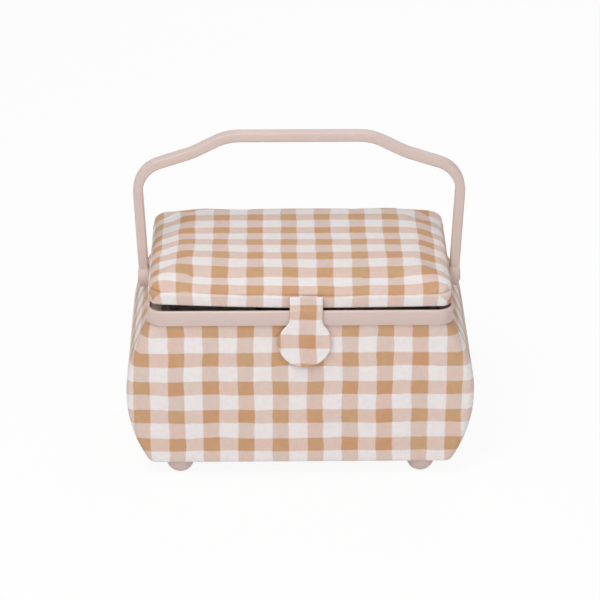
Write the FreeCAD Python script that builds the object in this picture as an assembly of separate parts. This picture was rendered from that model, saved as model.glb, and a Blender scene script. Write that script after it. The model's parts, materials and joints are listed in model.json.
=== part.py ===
import FreeCAD, Part
import math
import os

# Sewing box with bowed ends: a fabric-covered case on domed feet, a moulded rim, a padded lid with a
# magnetic tab, a lift-out tray and a folding handle.
# Millimetres, +Z up. The front faces -Y, and the origin is on the floor under the middle of the case.

# Case
CASE_WIDTH = 302.0  # over the covers at the bulge
CASE_DEPTH = 178.0  # over the covers, front to back
CASE_HEIGHT = 133.2  # covered wall, from its underside up to the rim
BULGE_SHARE = 0.4857  # widest level above the underside, of the case's height
END_RADIUS_SHARE = 0.9009  # arc of the bowed ends, of the case's height
CASE_CORNER = 12.0  # rounding of the upright corners
CASE_CORNER_STEPS = 3  # flats that the rounding is made of outside
CASE_CREASE_STEPS = 2  # and inside
COVER = 1.0  # fabric with its thin wadding
BOARD = 3.0
LINING = 0.8
WALL_IN_RIM = 2.0  # the walls stand this far up inside the rim

# Feet and their screws
FOOT_HEIGHT = 14.3
FOOT_RADIUS = 12.5
FOOT_FLAT = 4.5  # radius of the flat that stands on the floor
FOOT_SIDES = 16  # flats round the dome
FOOT_STEPS = 4  # and from its flat to its band
FOOT_END_INSET = 26.5  # foot centre in from the end of the underside
FOOT_FACE_INSET = 16.0  # foot centre in from the front or back cover
SCREW_SIDES = 8  # flats that a screw's roundness is made of
ROUND_SIDES = 16  # and that of washers, pin heads and knuckles
FOOT_SCREW_RADIUS = 1.5
FOOT_SCREW_HEAD = 3.0
FOOT_SCREW_SINK = 1.6
FOOT_SCREW_LENGTH = 13.0

# Rim
RIM_HEIGHT = 13.3
RIM_SKIN = 1.8
RIM_TOP_SKIN = 2.2
RIM_FIT = 0.2  # between the rim's skirt and the covers
RIM_WEB = 12.0  # outer face to the opening
RIM_EDGE = 1.2  # bevel of the upper outer edge
RIM_INNER_CORNER = 4.0
RIM_LIP = 2.4  # upstanding edge in front of the recess
RIM_RECESS = 5.0  # the rim's top lies this far below its lip, in front of the pivots
RIM_RECESS_END = 16.0  # end of the recess, in front of the pivots
LEDGE_DROP = 16.0  # tray ledge below the rim's top
LEDGE_WIDTH = 4.0

# Handle and its pivots
HANDLE_RISE = 132.0  # pivot to the middle of the grip
HANDLE_THICK = 8.4
HANDLE_BREADTH = 11.0
HANDLE_BEVEL = 1.0
HANDLE_FLARE = 4.7  # how far each arm leans out at the shoulder
HANDLE_SHOULDER_RADIUS = 27.0
HANDLE_DIP_RADIUS = 55.0
HANDLE_GRIP_RADIUS = 45.0
SHOULDER_RISE_SHARE = 0.764  # of the handle's rise
DIP_RISE_SHARE = 0.884
DIP_SPAN_SHARE = 0.657  # of the handle's half span
GRIP_SPAN_SHARE = 0.443
EAR_RADIUS = 10.0
PIVOT_RADIUS = 2.5
PIVOT_FIT = 0.05
PIVOT_PLAY = 0.1  # side play at each washer face
PIVOT_HEAD_RADIUS = 5.5
PIVOT_HEAD = 1.1
PIVOT_BOSS_RADIUS = 4.0
PIVOT_BOSS_LENGTH = 7.0
WASHER_RADIUS = 6.5
WASHER_THICK = 0.7
RETAINER_RADIUS = 3.8
RETAINER_THICK = 0.6

# Lid
LID_GAP = 1.0  # rim to lid
LID_SIDE_SETBACK = 0.4  # inside the rim's ends
LID_FRONT_SETBACK = 1.5  # behind the rim's front
LID_BACK_SETBACK = 10.0  # in front of the rim's back, room for the hinges
LID_CORNER = 16.0
SOFT_CORNER_STEPS = 5  # flats that the rounding of a soft corner is made of
LID_CLOTH = 0.8
LID_BAND = 9.8  # height of the flat band below the pad
LID_BAND_SETBACK = 0.9  # the pad swells past the band by this
LID_PAD = 17.9  # height of the pad's crown over the band
LID_CROWN_INSET = 60.0  # edge to where the crown levels out
LID_CROWN_SHARES = (  # height of the pad, inset of the crown
    (0.0, 0.02),
    (0.22, 0.003),
    (0.39, 0.02),
    (0.525, 0.058),
    (0.637, 0.117),
    (0.727, 0.183),
    (0.805, 0.267),
    (0.894, 0.417),
    (0.966, 0.667),
    (1.0, 1.0),
)
LID_SKIRT = 4.0
LID_PLATE = 2.5
LID_HEM = 3.2  # cover turned under the frame
LID_CARD = 1.2
LID_CARD_PLAY = 0.3

# Pincushion inside the lid
PINCUSHION_LENGTH = 100.0
PINCUSHION_WIDTH = 62.0
PINCUSHION_HEIGHT = 10.0
PINCUSHION_CORNER = 14.0
PINCUSHION_INSET = 18.0
PINCUSHION_SHARES = (  # height, inset
    (0.0, 0.12),
    (0.3, 0.0),
    (0.62, 0.10),
    (0.86, 0.36),
    (1.0, 1.0),
)

# Hinges
HINGE_SPREAD = 70.0  # middle of the lid to the middle of each hinge
HINGE_WIDTH = 30.0
LEAF = 0.9
LEAF_SEAT = 0.1  # between a leaf and what it is screwed to
CASE_LEAF_SINK = 0.4  # let into the rim
CASE_LEAF_REACH = 6.9
LID_LEAF_TOP_SETBACK = 0.8
KNUCKLE_RADIUS = 2.2
KNUCKLE_PLAY = 0.3
HINGE_PIN_RADIUS = 1.0
HINGE_PIN_FIT = 0.03
HINGE_SCREW_SPREAD = 9.5
HINGE_SCREW_RADIUS = 1.0
HINGE_SCREW_HEAD = 1.8
HINGE_SCREW_SINK = 0.5
HINGE_SCREW_LENGTH = 4.6
SCREW_BOSS_RADIUS = 2.4
SCREW_BOSS_LENGTH = 5.0

# Closing tab, its magnet and the catch plate
TAB_OFFSET = 5.0  # right of the middle
TAB_WIDTH = 28.4
TAB_DISC_RADIUS = 22.7
TAB_DISC_DROP = 29.0  # middle of the disc below the rim's top
TAB_FLARE = 9.0  # hollow curve where the strap meets the disc
TAB_LAYER = 1.2
TAB_STANDOFF = 0.6  # in front of the rim
TAB_FOLD_HEIGHT = 3.6  # fold line above the rim's top
TAB_FOLD_GAP = 0.4
ANCHOR_HEIGHT = 9.5
ANCHOR_THICK = 2.4
ANCHOR_SEAT = 0.2
MAGNET_RADIUS = 9.0
MAGNET_THICK = 0.9
MAGNET_PLAY = 0.05
CATCH_SIDE = 22.0
CATCH_THICK = 1.0
CATCH_PLAY = 0.1

# Tray
TRAY_PLAY = 0.8  # around its flange and its body
TRAY_DEPTH = 34.0
TRAY_WALL = 1.4
TRAY_FLANGE = 1.6
TRAY_DRAFT = 3.0
TRAY_CORNER = 10.0
TRAY_POCKET_CORNER = 4.0
TRAY_ROW_SHARE = 0.06  # long divider, of the half depth, behind the middle
TRAY_FRONT_DIVIDER_SHARES = (-0.34, 0.34)  # of the half width
TRAY_BACK_DIVIDER_SHARES = (0.34,)
FINGER_SLOT_LENGTH = 36.0
FINGER_SLOT_HEIGHT = 12.0
FINGER_SLOT_DROP = 13.0  # middle of the slot below the tray's top
DIVIDER_PLAY = 0.1  # around the long divider in its grooves

OVERRUN = 5.0  # cuts run past the faces that they cut

# Levels and places that follow from the sizes above
CASE_HALF_DEPTH = CASE_DEPTH / 2
CASE_BOTTOM = FOOT_HEIGHT
BULGE_Z = CASE_BOTTOM + CASE_HEIGHT * BULGE_SHARE
END_RADIUS = CASE_HEIGHT * END_RADIUS_SHARE
END_CENTRE_X = CASE_WIDTH / 2 - END_RADIUS
CORNER_Y = CASE_HALF_DEPTH - CASE_CORNER
BASE_TOP = CASE_BOTTOM + COVER + BOARD
RIM_BOTTOM = CASE_BOTTOM + CASE_HEIGHT
RIM_TOP = RIM_BOTTOM + RIM_HEIGHT
WALL_TOP = RIM_BOTTOM + WALL_IN_RIM
LEDGE_TOP = RIM_TOP - LEDGE_DROP


def end_x(z, inset):
    """Half width of the case at height z, with its outline drawn in by inset."""
    return END_CENTRE_X + math.sqrt((END_RADIUS - inset) ** 2 - (z - BULGE_Z) ** 2)


RIM_HALF_X = end_x(RIM_BOTTOM, 0) + RIM_FIT + RIM_SKIN
RIM_HALF_Y = CASE_HALF_DEPTH + RIM_FIT + RIM_SKIN
RIM_CORNER = CASE_CORNER + RIM_FIT + RIM_SKIN
PIVOT_Z = RIM_BOTTOM + RIM_HEIGHT / 2
EAR_X = RIM_HALF_X + WASHER_THICK + 2 * PIVOT_PLAY
PIVOT_END_X = RIM_HALF_X - RIM_SKIN - PIVOT_BOSS_LENGTH

LID_BOTTOM = RIM_TOP + LID_GAP
LID_FRONT = LID_FRONT_SETBACK - RIM_HALF_Y
LID_BACK = RIM_HALF_Y - LID_BACK_SETBACK
LID_HALF_X = RIM_HALF_X - LID_SIDE_SETBACK
LID_HALF_Y = (LID_BACK - LID_FRONT) / 2
LID_MIDDLE_Y = (LID_BACK + LID_FRONT) / 2
LID_FRAME_INSET = LID_BAND_SETBACK + LID_CLOTH
LID_HOLLOW_INSET = LID_FRAME_INSET + LID_SKIRT
LID_PLATE_Z = LID_BOTTOM + LID_BAND - LID_PLATE
LID_CARD_Z = LID_PLATE_Z - LID_CARD

LID_LEAF_Y = LID_BACK - LID_BAND_SETBACK + LEAF_SEAT
HINGE_Y = LID_LEAF_Y + KNUCKLE_RADIUS
HINGE_Z = RIM_TOP + KNUCKLE_RADIUS - CASE_LEAF_SINK
CASE_LEAF_Z = RIM_TOP - CASE_LEAF_SINK
CASE_SCREW_Y = HINGE_Y + KNUCKLE_RADIUS + KNUCKLE_PLAY + HINGE_SCREW_HEAD
LID_LEAF_TOP = LID_BOTTOM + LID_BAND - LID_LEAF_TOP_SETBACK
LID_SCREW_Z = (HINGE_Z + KNUCKLE_RADIUS + KNUCKLE_PLAY + LID_LEAF_TOP) / 2

TAB_BACK = -RIM_HALF_Y - TAB_STANDOFF
TAB_MIDDLE = TAB_BACK - TAB_LAYER
TAB_FRONT = TAB_MIDDLE - TAB_LAYER
TAB_FOLD_Z = RIM_TOP + TAB_FOLD_HEIGHT
TAB_DISC_Z = RIM_TOP - TAB_DISC_DROP

TRAY_TOP = LEDGE_TOP + TRAY_FLANGE
TRAY_BOTTOM = TRAY_TOP - TRAY_DEPTH
TRAY_HALF_X = RIM_HALF_X - RIM_WEB - LEDGE_WIDTH - TRAY_PLAY
TRAY_HALF_Y = RIM_HALF_Y - RIM_WEB - LEDGE_WIDTH - TRAY_PLAY


def point(x, y, z):
    """Short name for a vector."""
    return FreeCAD.Vector(x, y, z)


ORIGIN = point(0, 0, 0)
X_AXIS = point(1, 0, 0)
Y_AXIS = point(0, 1, 0)
Z_AXIS = point(0, 0, 1)
REACH = CASE_WIDTH + CASE_DEPTH + HANDLE_RISE  # larger than the whole box, for half spaces


def rounded_rectangle(half_x, half_y, corner, z):
    """Level wire of four lines and four quarter arcs."""
    signs = ((1, 1), (-1, 1), (-1, -1), (1, -1))
    arcs = []
    for quarter, (across, along) in enumerate(signs):
        centre = point(across * (half_x - corner), along * (half_y - corner), z)
        angles = [math.pi * (quarter + half / 2) / 2 for half in range(3)]
        arcs.append([centre + point(math.cos(a), math.sin(a), 0) * corner for a in angles])
    edges = []
    for arc, following in zip(arcs, arcs[1:] + arcs[:1]):
        edges.append(Part.Arc(*arc).toShape())
        edges.append(Part.makeLine(arc[-1], following[0]))
    return Part.Wire(edges)


def closed(ring):
    """Wire round a ring of points."""
    return Part.makePolygon(ring + ring[:1])


def soft_rectangle(half_x, half_y, corner, z, middle_y):
    """Level ring of points: a rectangle whose corners are rounded by a few flats."""
    quarter = [math.pi / 2 * step / SOFT_CORNER_STEPS for step in range(SOFT_CORNER_STEPS + 1)]
    bend = [(half_x - corner + corner * math.cos(a), half_y - corner + corner * math.sin(a)) for a in quarter]
    half = bend + [(-x, y) for x, y in reversed(bend)]
    whole = half + [(-x, -y) for x, y in half]
    return [point(x, middle_y + y, z) for x, y in whole]


def stacked(rings):
    """Solid lofted by flats through level rings that have as many points each."""
    faces = [Part.Face(closed(ring)) for ring in (rings[0], rings[-1])]
    for lower, upper in zip(rings, rings[1:]):
        for here in range(len(lower)):
            faces.append(Part.Face(closed([lower[here - 1], lower[here], upper[here], upper[here - 1]])))
    return Part.Solid(Part.Shell(faces))


def bevelled_rectangle(half_x, half_y, bevel):
    """Level wire of a rectangle with its corners cut off."""
    quarter = [point(half_x, half_y - bevel, 0), point(half_x - bevel, half_y, 0)]
    half = quarter + [point(-corner.x, corner.y, 0) for corner in reversed(quarter)]
    return Part.makePolygon(half + [-corner for corner in half] + [half[0]])


def raised(wire, height):
    """Upright solid on a level wire."""
    return Part.Face(wire).extrude(point(0, 0, height))


def block(low, high):
    """Box between two corners."""
    size = high - low
    return Part.makeBox(size.x, size.y, size.z, low)


def mirrored(shape):
    """The same shape on the other side of the box."""
    return shape.mirror(ORIGIN, X_AXIS)


def both_sides(shape):
    """A shape and its mirror image as one group."""
    return Part.makeCompound([shape, mirrored(shape)])


def case_outline(inset, bottom, y):
    """Upright wire of the case's front outline: level top and bottom, bowed ends drawn in by inset."""
    right = [point(end_x(z, inset), y, z) for z in (bottom, BULGE_Z, WALL_TOP)]
    left = [point(-corner.x, corner.y, corner.z) for corner in right]
    return Part.Wire([
        Part.makeLine(left[0], right[0]),
        Part.Arc(*right).toShape(),
        Part.makeLine(right[2], left[2]),
        Part.Arc(*reversed(left)).toShape(),
    ])


def case_core(inset, steps=CASE_CORNER_STEPS):
    """Outer form of the case drawn in by inset, rounded at the upright corners by a few flats."""
    round_off = CASE_CORNER - inset
    quarter = [math.pi / 2 * step / steps for step in range(steps + 1)]
    bend = [(CASE_CORNER - round_off * math.sin(a), CORNER_Y + round_off * math.cos(a)) for a in quarter]
    places = [(drawn_in, -y) for drawn_in, y in bend] + bend[::-1]
    return Part.makeLoft([case_outline(d, CASE_BOTTOM + inset, y) for d, y in places], True, True)


def stud(radius, length, place, into):
    """Screw shank or head of a few flats, lengthwise along into."""
    across = X_AXIS * radius
    upward = into.cross(X_AXIS) * radius
    angles = [2 * math.pi * side / SCREW_SIDES for side in range(SCREW_SIDES + 1)]
    ring = Part.makePolygon([place + across * math.cos(a) + upward * math.sin(a) for a in angles])
    return Part.Face(ring).extrude(into * length)


def drum(radius, length, start):
    """Small round piece of a few flats, from start to the right."""
    angles = [2 * math.pi * side / ROUND_SIDES for side in range(ROUND_SIDES + 1)]
    ring = Part.makePolygon([start + point(0, radius * math.cos(a), radius * math.sin(a)) for a in angles])
    return Part.Face(ring).extrude(X_AXIS * length)


def foot_places():
    """Middle of each foot on the floor."""
    x = end_x(CASE_BOTTOM, 0) - FOOT_END_INSET
    y = CASE_HALF_DEPTH - FOOT_FACE_INSET
    return [point(-x, -y, 0), point(x, -y, 0), point(-x, y, 0), point(x, y, 0)]


def foot_screw(place):
    """Cheese-headed screw, sunk in the base board, down into a foot."""
    top = point(place.x, place.y, BASE_TOP)
    head = stud(FOOT_SCREW_HEAD, FOOT_SCREW_SINK, top, -Z_AXIS)
    return head.fuse(stud(FOOT_SCREW_RADIUS, FOOT_SCREW_LENGTH, top, -Z_AXIS)).removeSplitter()


def foot_screws():
    """The four foot screws as one group."""
    return Part.makeCompound([foot_screw(place) for place in foot_places()])


def foot_ring(place, radius, z):
    """Level ring of points round a foot."""
    angles = [2 * math.pi * side / FOOT_SIDES for side in range(FOOT_SIDES)]
    return [point(place.x + radius * math.cos(a), place.y + radius * math.sin(a), z) for a in angles]


def domed_foot(place):
    """Moulded dome with a small flat to stand on, and an upright band under the case."""
    middle = math.sqrt(FOOT_RADIUS ** 2 - FOOT_FLAT ** 2)
    lowest = math.asin(middle / FOOT_RADIUS)
    turns = [lowest * (1 - step / FOOT_STEPS) for step in range(FOOT_STEPS + 1)]
    rings = [foot_ring(place, FOOT_RADIUS * math.cos(a), middle - FOOT_RADIUS * math.sin(a)) for a in turns]
    return stacked(rings + [foot_ring(place, FOOT_RADIUS, FOOT_HEIGHT)]).cut(foot_screw(place))


def feet():
    """The four feet as one group."""
    return Part.makeCompound([domed_foot(place) for place in foot_places()])


def base_cover():
    """Cloth over the underside."""
    shell = case_core(0).cut(case_core(COVER))
    layer = block(point(-REACH, -REACH, 0), point(REACH, REACH, CASE_BOTTOM + COVER))
    return shell.common(layer).cut(foot_screws())


def base_board():
    """Board that the walls stand on and the feet are screwed to."""
    layer = block(point(-REACH, -REACH, 0), point(REACH, REACH, BASE_TOP))
    return case_core(COVER).common(layer).cut(foot_screws())


def cover_shell():
    """Cloth over all four walls, before it is parted."""
    base = block(point(-REACH, -REACH, 0), point(REACH, REACH, CASE_BOTTOM + COVER))
    return case_core(0).cut(case_core(COVER)).cut(base)


def back_cover():
    """Cloth over the back, turned round both upright corners."""
    return cover_shell().common(block(point(-REACH, CORNER_Y, 0), point(REACH, REACH, REACH)))


def front_cover():
    """Cloth over the front, turned round both upright corners."""
    return cover_shell().common(block(point(-REACH, -REACH, 0), point(REACH, -CORNER_Y, REACH)))


def right_end_cover():
    """Cloth over a bowed end, between the front and back covers."""
    return cover_shell().common(block(point(0, -CORNER_Y, 0), point(REACH, CORNER_Y, REACH)))


def flat_board(front):
    """Flat wall board between the rounded corners."""
    return Part.Face(case_outline(CASE_CORNER, BASE_TOP, front)).extrude(Y_AXIS * BOARD)


def back_board():
    """Flat board of the back."""
    return flat_board(CASE_HALF_DEPTH - COVER - BOARD)


def catch_room(play):
    """The catch plate's place, let into the outer face of the front board behind the tab's disc."""
    half = CATCH_SIDE / 2 + play
    front = COVER - CASE_HALF_DEPTH
    low = point(TAB_OFFSET - half, front, TAB_DISC_Z - half)
    return block(low, point(TAB_OFFSET + half, front + CATCH_THICK, TAB_DISC_Z + half))


def front_board():
    """Flat board of the front, sunk for the catch plate."""
    return flat_board(COVER - CASE_HALF_DEPTH).cut(catch_room(CATCH_PLAY))


def catch_plate():
    """Steel plate behind the front cover for the tab's magnet."""
    return catch_room(0)


def right_end_board():
    """Bowed end board, turned round both corners to meet the flat boards."""
    walls = case_core(COVER).cut(case_core(COVER + BOARD, CASE_CREASE_STEPS))
    half = block(point(0, -REACH, BASE_TOP), point(REACH, REACH, REACH))
    return walls.common(half).cut(flat_board(COVER - CASE_HALF_DEPTH)).cut(back_board())


def case_lining():
    """Lining cloth over the walls and the base."""
    inside = case_core(COVER + BOARD + LINING, CASE_CREASE_STEPS)
    return case_core(COVER + BOARD, CASE_CREASE_STEPS).cut(inside)


def rim_outline(inset, z):
    """Plan of the rim drawn in by inset."""
    corner = max(RIM_CORNER - inset, RIM_INNER_CORNER)
    return rounded_rectangle(RIM_HALF_X - inset, RIM_HALF_Y - inset, corner, z)


def rim_ring(outer_inset, inner_inset, low, high):
    """Closed wall of the rim between two outlines."""
    outer = raised(rim_outline(outer_inset, low), high - low)
    return outer.cut(raised(rim_outline(inner_inset, low), high - low))


def hinge_screw_places():
    """How far from the middle of the lid the screws of the right hinge are."""
    return (HINGE_SPREAD - HINGE_SCREW_SPREAD, HINGE_SPREAD + HINGE_SCREW_SPREAD)


def rim_recess(inset, low, high):
    """Part of the rim behind its lip, along the front and the sides up to the recess's end."""
    front = block(point(-REACH, -REACH, 0), point(REACH, -RIM_RECESS_END, REACH))
    return rim_ring(inset, RIM_WEB, low, high).common(front)


def rim_frame():
    """Moulded channel over the wall tops: front recess, tray ledge, pivot bosses and screw bosses."""
    form = raised(rim_outline(0, RIM_BOTTOM), RIM_HEIGHT)
    upper = [edge for edge in form.Edges if edge.BoundBox.ZMin > RIM_BOTTOM + RIM_HEIGHT / 2]
    form = form.makeChamfer(RIM_EDGE, upper)
    form = form.cut(raised(rim_outline(RIM_SKIN, RIM_BOTTOM), RIM_HEIGHT - RIM_TOP_SKIN))
    form = form.cut(raised(rim_outline(RIM_WEB, RIM_BOTTOM), RIM_HEIGHT))
    leg = RIM_WEB - RIM_SKIN
    form = form.fuse(rim_ring(leg, RIM_WEB, LEDGE_TOP - RIM_SKIN, RIM_TOP))
    form = form.fuse(rim_ring(leg, RIM_WEB + LEDGE_WIDTH, LEDGE_TOP - RIM_SKIN, LEDGE_TOP))
    form = form.cut(rim_recess(RIM_LIP, RIM_TOP - RIM_RECESS, RIM_TOP))
    form = form.fuse(rim_recess(RIM_SKIN, RIM_TOP - RIM_RECESS - RIM_TOP_SKIN, RIM_TOP - RIM_RECESS))
    step = rim_ring(RIM_SKIN, RIM_WEB, RIM_TOP - RIM_RECESS - RIM_TOP_SKIN, RIM_TOP)
    low = point(-REACH, -RIM_RECESS_END, RIM_BOTTOM)
    form = form.fuse(step.common(block(low, point(REACH, RIM_TOP_SKIN - RIM_RECESS_END, REACH))))
    pivot = point(PIVOT_END_X, 0, PIVOT_Z)
    boss = Part.makeCylinder(PIVOT_BOSS_RADIUS, PIVOT_BOSS_LENGTH + RIM_SKIN / 2, pivot, X_AXIS)
    form = form.fuse(both_sides(boss))
    for x in hinge_screw_places():
        foot_of_boss = point(x, CASE_SCREW_Y, RIM_TOP - RIM_TOP_SKIN - SCREW_BOSS_LENGTH)
        boss = stud(SCREW_BOSS_RADIUS, SCREW_BOSS_LENGTH + RIM_TOP_SKIN / 2, foot_of_boss, Z_AXIS)
        form = form.fuse(both_sides(boss))
    bore = Part.makeCylinder(PIVOT_RADIUS + PIVOT_FIT, REACH, pivot, X_AXIS)
    form = form.cut(both_sides(bore))
    leaf_seat = block(
        point(HINGE_SPREAD - HINGE_WIDTH / 2 - KNUCKLE_PLAY, HINGE_Y, CASE_LEAF_Z),
        point(HINGE_SPREAD + HINGE_WIDTH / 2 + KNUCKLE_PLAY, HINGE_Y + CASE_LEAF_REACH + KNUCKLE_PLAY, REACH),
    )
    knuckle_start = point(HINGE_SPREAD - HINGE_WIDTH / 2 - KNUCKLE_PLAY, HINGE_Y, HINGE_Z)
    knuckle_room = Part.makeCylinder(
        KNUCKLE_RADIUS + KNUCKLE_PLAY, HINGE_WIDTH + 2 * KNUCKLE_PLAY, knuckle_start, X_AXIS)
    form = form.cut(both_sides(leaf_seat.fuse(knuckle_room)))
    return form.cut(case_hinge_screws()).removeSplitter()


def hinge_screw(outer_face, into):
    """Cheese-headed screw whose head is flush with a leaf's outer face."""
    head = stud(HINGE_SCREW_HEAD, HINGE_SCREW_SINK, outer_face, into)
    return head.fuse(stud(HINGE_SCREW_RADIUS, HINGE_SCREW_LENGTH, outer_face, into)).removeSplitter()


def case_hinge_screws():
    """Screws of both case leaves, down into the rim's bosses."""
    top = CASE_LEAF_Z + LEAF
    screws = [hinge_screw(point(x, CASE_SCREW_Y, top), -Z_AXIS) for x in hinge_screw_places()]
    return Part.makeCompound(screws + [mirrored(screw) for screw in screws])


def lid_hinge_screws():
    """Screws of both lid leaves, forward into the lid frame's skirt."""
    face = LID_LEAF_Y + LEAF
    screws = [hinge_screw(point(x, face, LID_SCREW_Z), -Y_AXIS) for x in hinge_screw_places()]
    return Part.makeCompound(screws + [mirrored(screw) for screw in screws])


def knuckle(start, length):
    """Rolled knuckle along the hinge axis."""
    return drum(KNUCKLE_RADIUS, length, point(start, HINGE_Y, HINGE_Z))


def hinge_bore():
    """Hole for the hinge pin."""
    start = point(HINGE_SPREAD - HINGE_WIDTH, HINGE_Y, HINGE_Z)
    over_corners = (HINGE_PIN_RADIUS + HINGE_PIN_FIT) / math.cos(math.pi / ROUND_SIDES)
    return drum(over_corners, 2 * HINGE_WIDTH, start)


HINGE_START = HINGE_SPREAD - HINGE_WIDTH / 2
KNUCKLE_LENGTH = HINGE_WIDTH / 3


def right_case_leaf():
    """Leaf on the rim behind the lid, with the two outer knuckles."""
    leaf = block(
        point(HINGE_START, HINGE_Y, CASE_LEAF_Z),
        point(HINGE_START + HINGE_WIDTH, HINGE_Y + CASE_LEAF_REACH, CASE_LEAF_Z + LEAF),
    )
    room = KNUCKLE_RADIUS + KNUCKLE_PLAY
    notch = block(
        point(HINGE_START + KNUCKLE_LENGTH - KNUCKLE_PLAY, HINGE_Y - room, CASE_LEAF_Z - OVERRUN),
        point(HINGE_START + 2 * KNUCKLE_LENGTH + KNUCKLE_PLAY, HINGE_Y + room, HINGE_Z + OVERRUN),
    )
    barrel = knuckle(HINGE_START, HINGE_WIDTH)
    return leaf.fuse(barrel).cut(notch).cut(hinge_bore()).cut(case_hinge_screws()).removeSplitter()


def right_lid_leaf():
    """Leaf on the back of the lid, with the middle knuckle."""
    above = HINGE_Z + KNUCKLE_RADIUS + KNUCKLE_PLAY
    leaf = block(
        point(HINGE_START, LID_LEAF_Y, above),
        point(HINGE_START + HINGE_WIDTH, LID_LEAF_Y + LEAF, LID_LEAF_TOP),
    )
    start = HINGE_START + KNUCKLE_LENGTH + KNUCKLE_PLAY / 2
    length = KNUCKLE_LENGTH - KNUCKLE_PLAY
    neck = block(point(start, LID_LEAF_Y, HINGE_Z), point(start + length, LID_LEAF_Y + LEAF, above))
    barrel = knuckle(start, length)
    return leaf.fuse([neck, barrel]).cut(hinge_bore()).cut(lid_hinge_screws()).removeSplitter()


def hinge_pins():
    """Plain pin through all three knuckles of each hinge."""
    return both_sides(drum(HINGE_PIN_RADIUS, HINGE_WIDTH, point(HINGE_START, HINGE_Y, HINGE_Z)))


def rounded_path(corners, radii):
    """Straight runs joined by tangent arcs at the inner corners."""
    edges = []
    start = corners[0]
    for before, corner, after, radius in zip(corners, corners[1:], corners[2:], radii):
        inward = (before - corner).normalize()
        onward = (after - corner).normalize()
        half_angle = inward.getAngle(onward) / 2
        tangent = radius / math.tan(half_angle)
        middle = (inward + onward).normalize() * (radius / math.sin(half_angle) - radius)
        edges.append(Part.makeLine(start, corner + inward * tangent))
        start = corner + onward * tangent
        edges.append(Part.Arc(corner + inward * tangent, corner + middle, start).toShape())
    edges.append(Part.makeLine(start, corners[-1]))
    return Part.Wire(edges)


def handle():
    """Bail swept from ear to ear: leaning arms, rounded shoulders, sloping hips and a level grip."""
    arm_x = EAR_X + HANDLE_THICK / 2
    span = arm_x + HANDLE_FLARE
    right = [
        point(arm_x, 0, PIVOT_Z),
        point(span, 0, PIVOT_Z + HANDLE_RISE * SHOULDER_RISE_SHARE),
        point(span * DIP_SPAN_SHARE, 0, PIVOT_Z + HANDLE_RISE * DIP_RISE_SHARE),
        point(span * GRIP_SPAN_SHARE, 0, PIVOT_Z + HANDLE_RISE),
    ]
    left = [point(-corner.x, 0, corner.z) for corner in right]
    radii = [HANDLE_SHOULDER_RADIUS, HANDLE_DIP_RADIUS, HANDLE_GRIP_RADIUS]
    path = rounded_path(right + left[::-1], radii + radii[::-1])
    section = bevelled_rectangle(HANDLE_THICK / 2, HANDLE_BREADTH / 2, HANDLE_BEVEL)
    lean = math.degrees(math.atan2(right[1].x - right[0].x, right[1].z - right[0].z))
    section.rotate(ORIGIN, Y_AXIS, lean)
    section.translate(right[0])
    sweep = Part.BRepOffsetAPI.MakePipeShell(path)
    sweep.setBiNormalMode(Y_AXIS)
    sweep.add(section)
    sweep.build()
    sweep.makeSolid()
    ear = Part.makeCylinder(EAR_RADIUS, HANDLE_THICK, point(EAR_X, 0, PIVOT_Z), X_AXIS)
    inside = block(point(-EAR_X, -REACH, 0), point(EAR_X, REACH, PIVOT_Z + EAR_RADIUS))
    bore = Part.makeCylinder(PIVOT_RADIUS + PIVOT_FIT, REACH, point(RIM_HALF_X, 0, PIVOT_Z), X_AXIS)
    head_room = Part.makeCylinder(
        PIVOT_HEAD_RADIUS + PIVOT_PLAY, REACH, point(EAR_X + HANDLE_THICK, 0, PIVOT_Z), X_AXIS)
    bail = sweep.shape().cut(inside).fuse([ear, mirrored(ear)])
    return bail.cut(both_sides(bore)).cut(both_sides(head_room)).removeSplitter()


def pivot_pins():
    """Headed pin through each ear, its washer and the rim."""
    head_x = EAR_X + HANDLE_THICK + PIVOT_PLAY
    end_of_pin = PIVOT_END_X - PIVOT_PLAY
    shank = Part.makeCylinder(PIVOT_RADIUS, head_x - end_of_pin, point(end_of_pin, 0, PIVOT_Z), X_AXIS)
    head = drum(PIVOT_HEAD_RADIUS, PIVOT_HEAD, point(head_x, 0, PIVOT_Z))
    return both_sides(shank.fuse(head).removeSplitter())


def pivot_washers():
    """A washer between each ear and the rim."""
    start = point(RIM_HALF_X + PIVOT_PLAY, 0, PIVOT_Z)
    disc = drum(WASHER_RADIUS, WASHER_THICK, start)
    return both_sides(disc.cut(Part.makeCylinder(PIVOT_RADIUS + PIVOT_FIT, WASHER_THICK, start, X_AXIS)))


def pivot_retainers():
    """Riveted cap on the inner end of each pin."""
    start = point(PIVOT_END_X - PIVOT_PLAY - RETAINER_THICK, 0, PIVOT_Z)
    return both_sides(drum(RETAINER_RADIUS, RETAINER_THICK, start))


def lid_outline(inset, z):
    """Plan of the lid drawn in by inset."""
    return soft_rectangle(LID_HALF_X - inset, LID_HALF_Y - inset, LID_CORNER, z, LID_MIDDLE_Y)


def lid_band(inset):
    """Flat band of the lid, from its underside up to the pad."""
    return raised(closed(lid_outline(LID_BAND_SETBACK + inset, LID_BOTTOM + inset)), LID_BAND - inset)


def lid_crown(inset):
    """Crowned pad: drawn in at the band, swelling past it, then rising to a level middle."""
    sections = []
    for height_share, inset_share in LID_CROWN_SHARES:
        z = LID_BOTTOM + LID_BAND + (LID_PAD - inset) * height_share
        sections.append(lid_outline(LID_CROWN_INSET * inset_share + inset, z))
    return stacked(sections)


def lid_foam():
    """Foam pad under the cover."""
    return lid_crown(LID_CLOTH)


def lid_frame():
    """Shallow board pan: a plate under the foam and a skirt all round."""
    hollow = raised(closed(lid_outline(LID_HOLLOW_INSET, LID_BOTTOM)), LID_BAND - LID_PLATE)
    return lid_band(LID_CLOTH).cut(hollow).cut(lid_hinge_screws())


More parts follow.
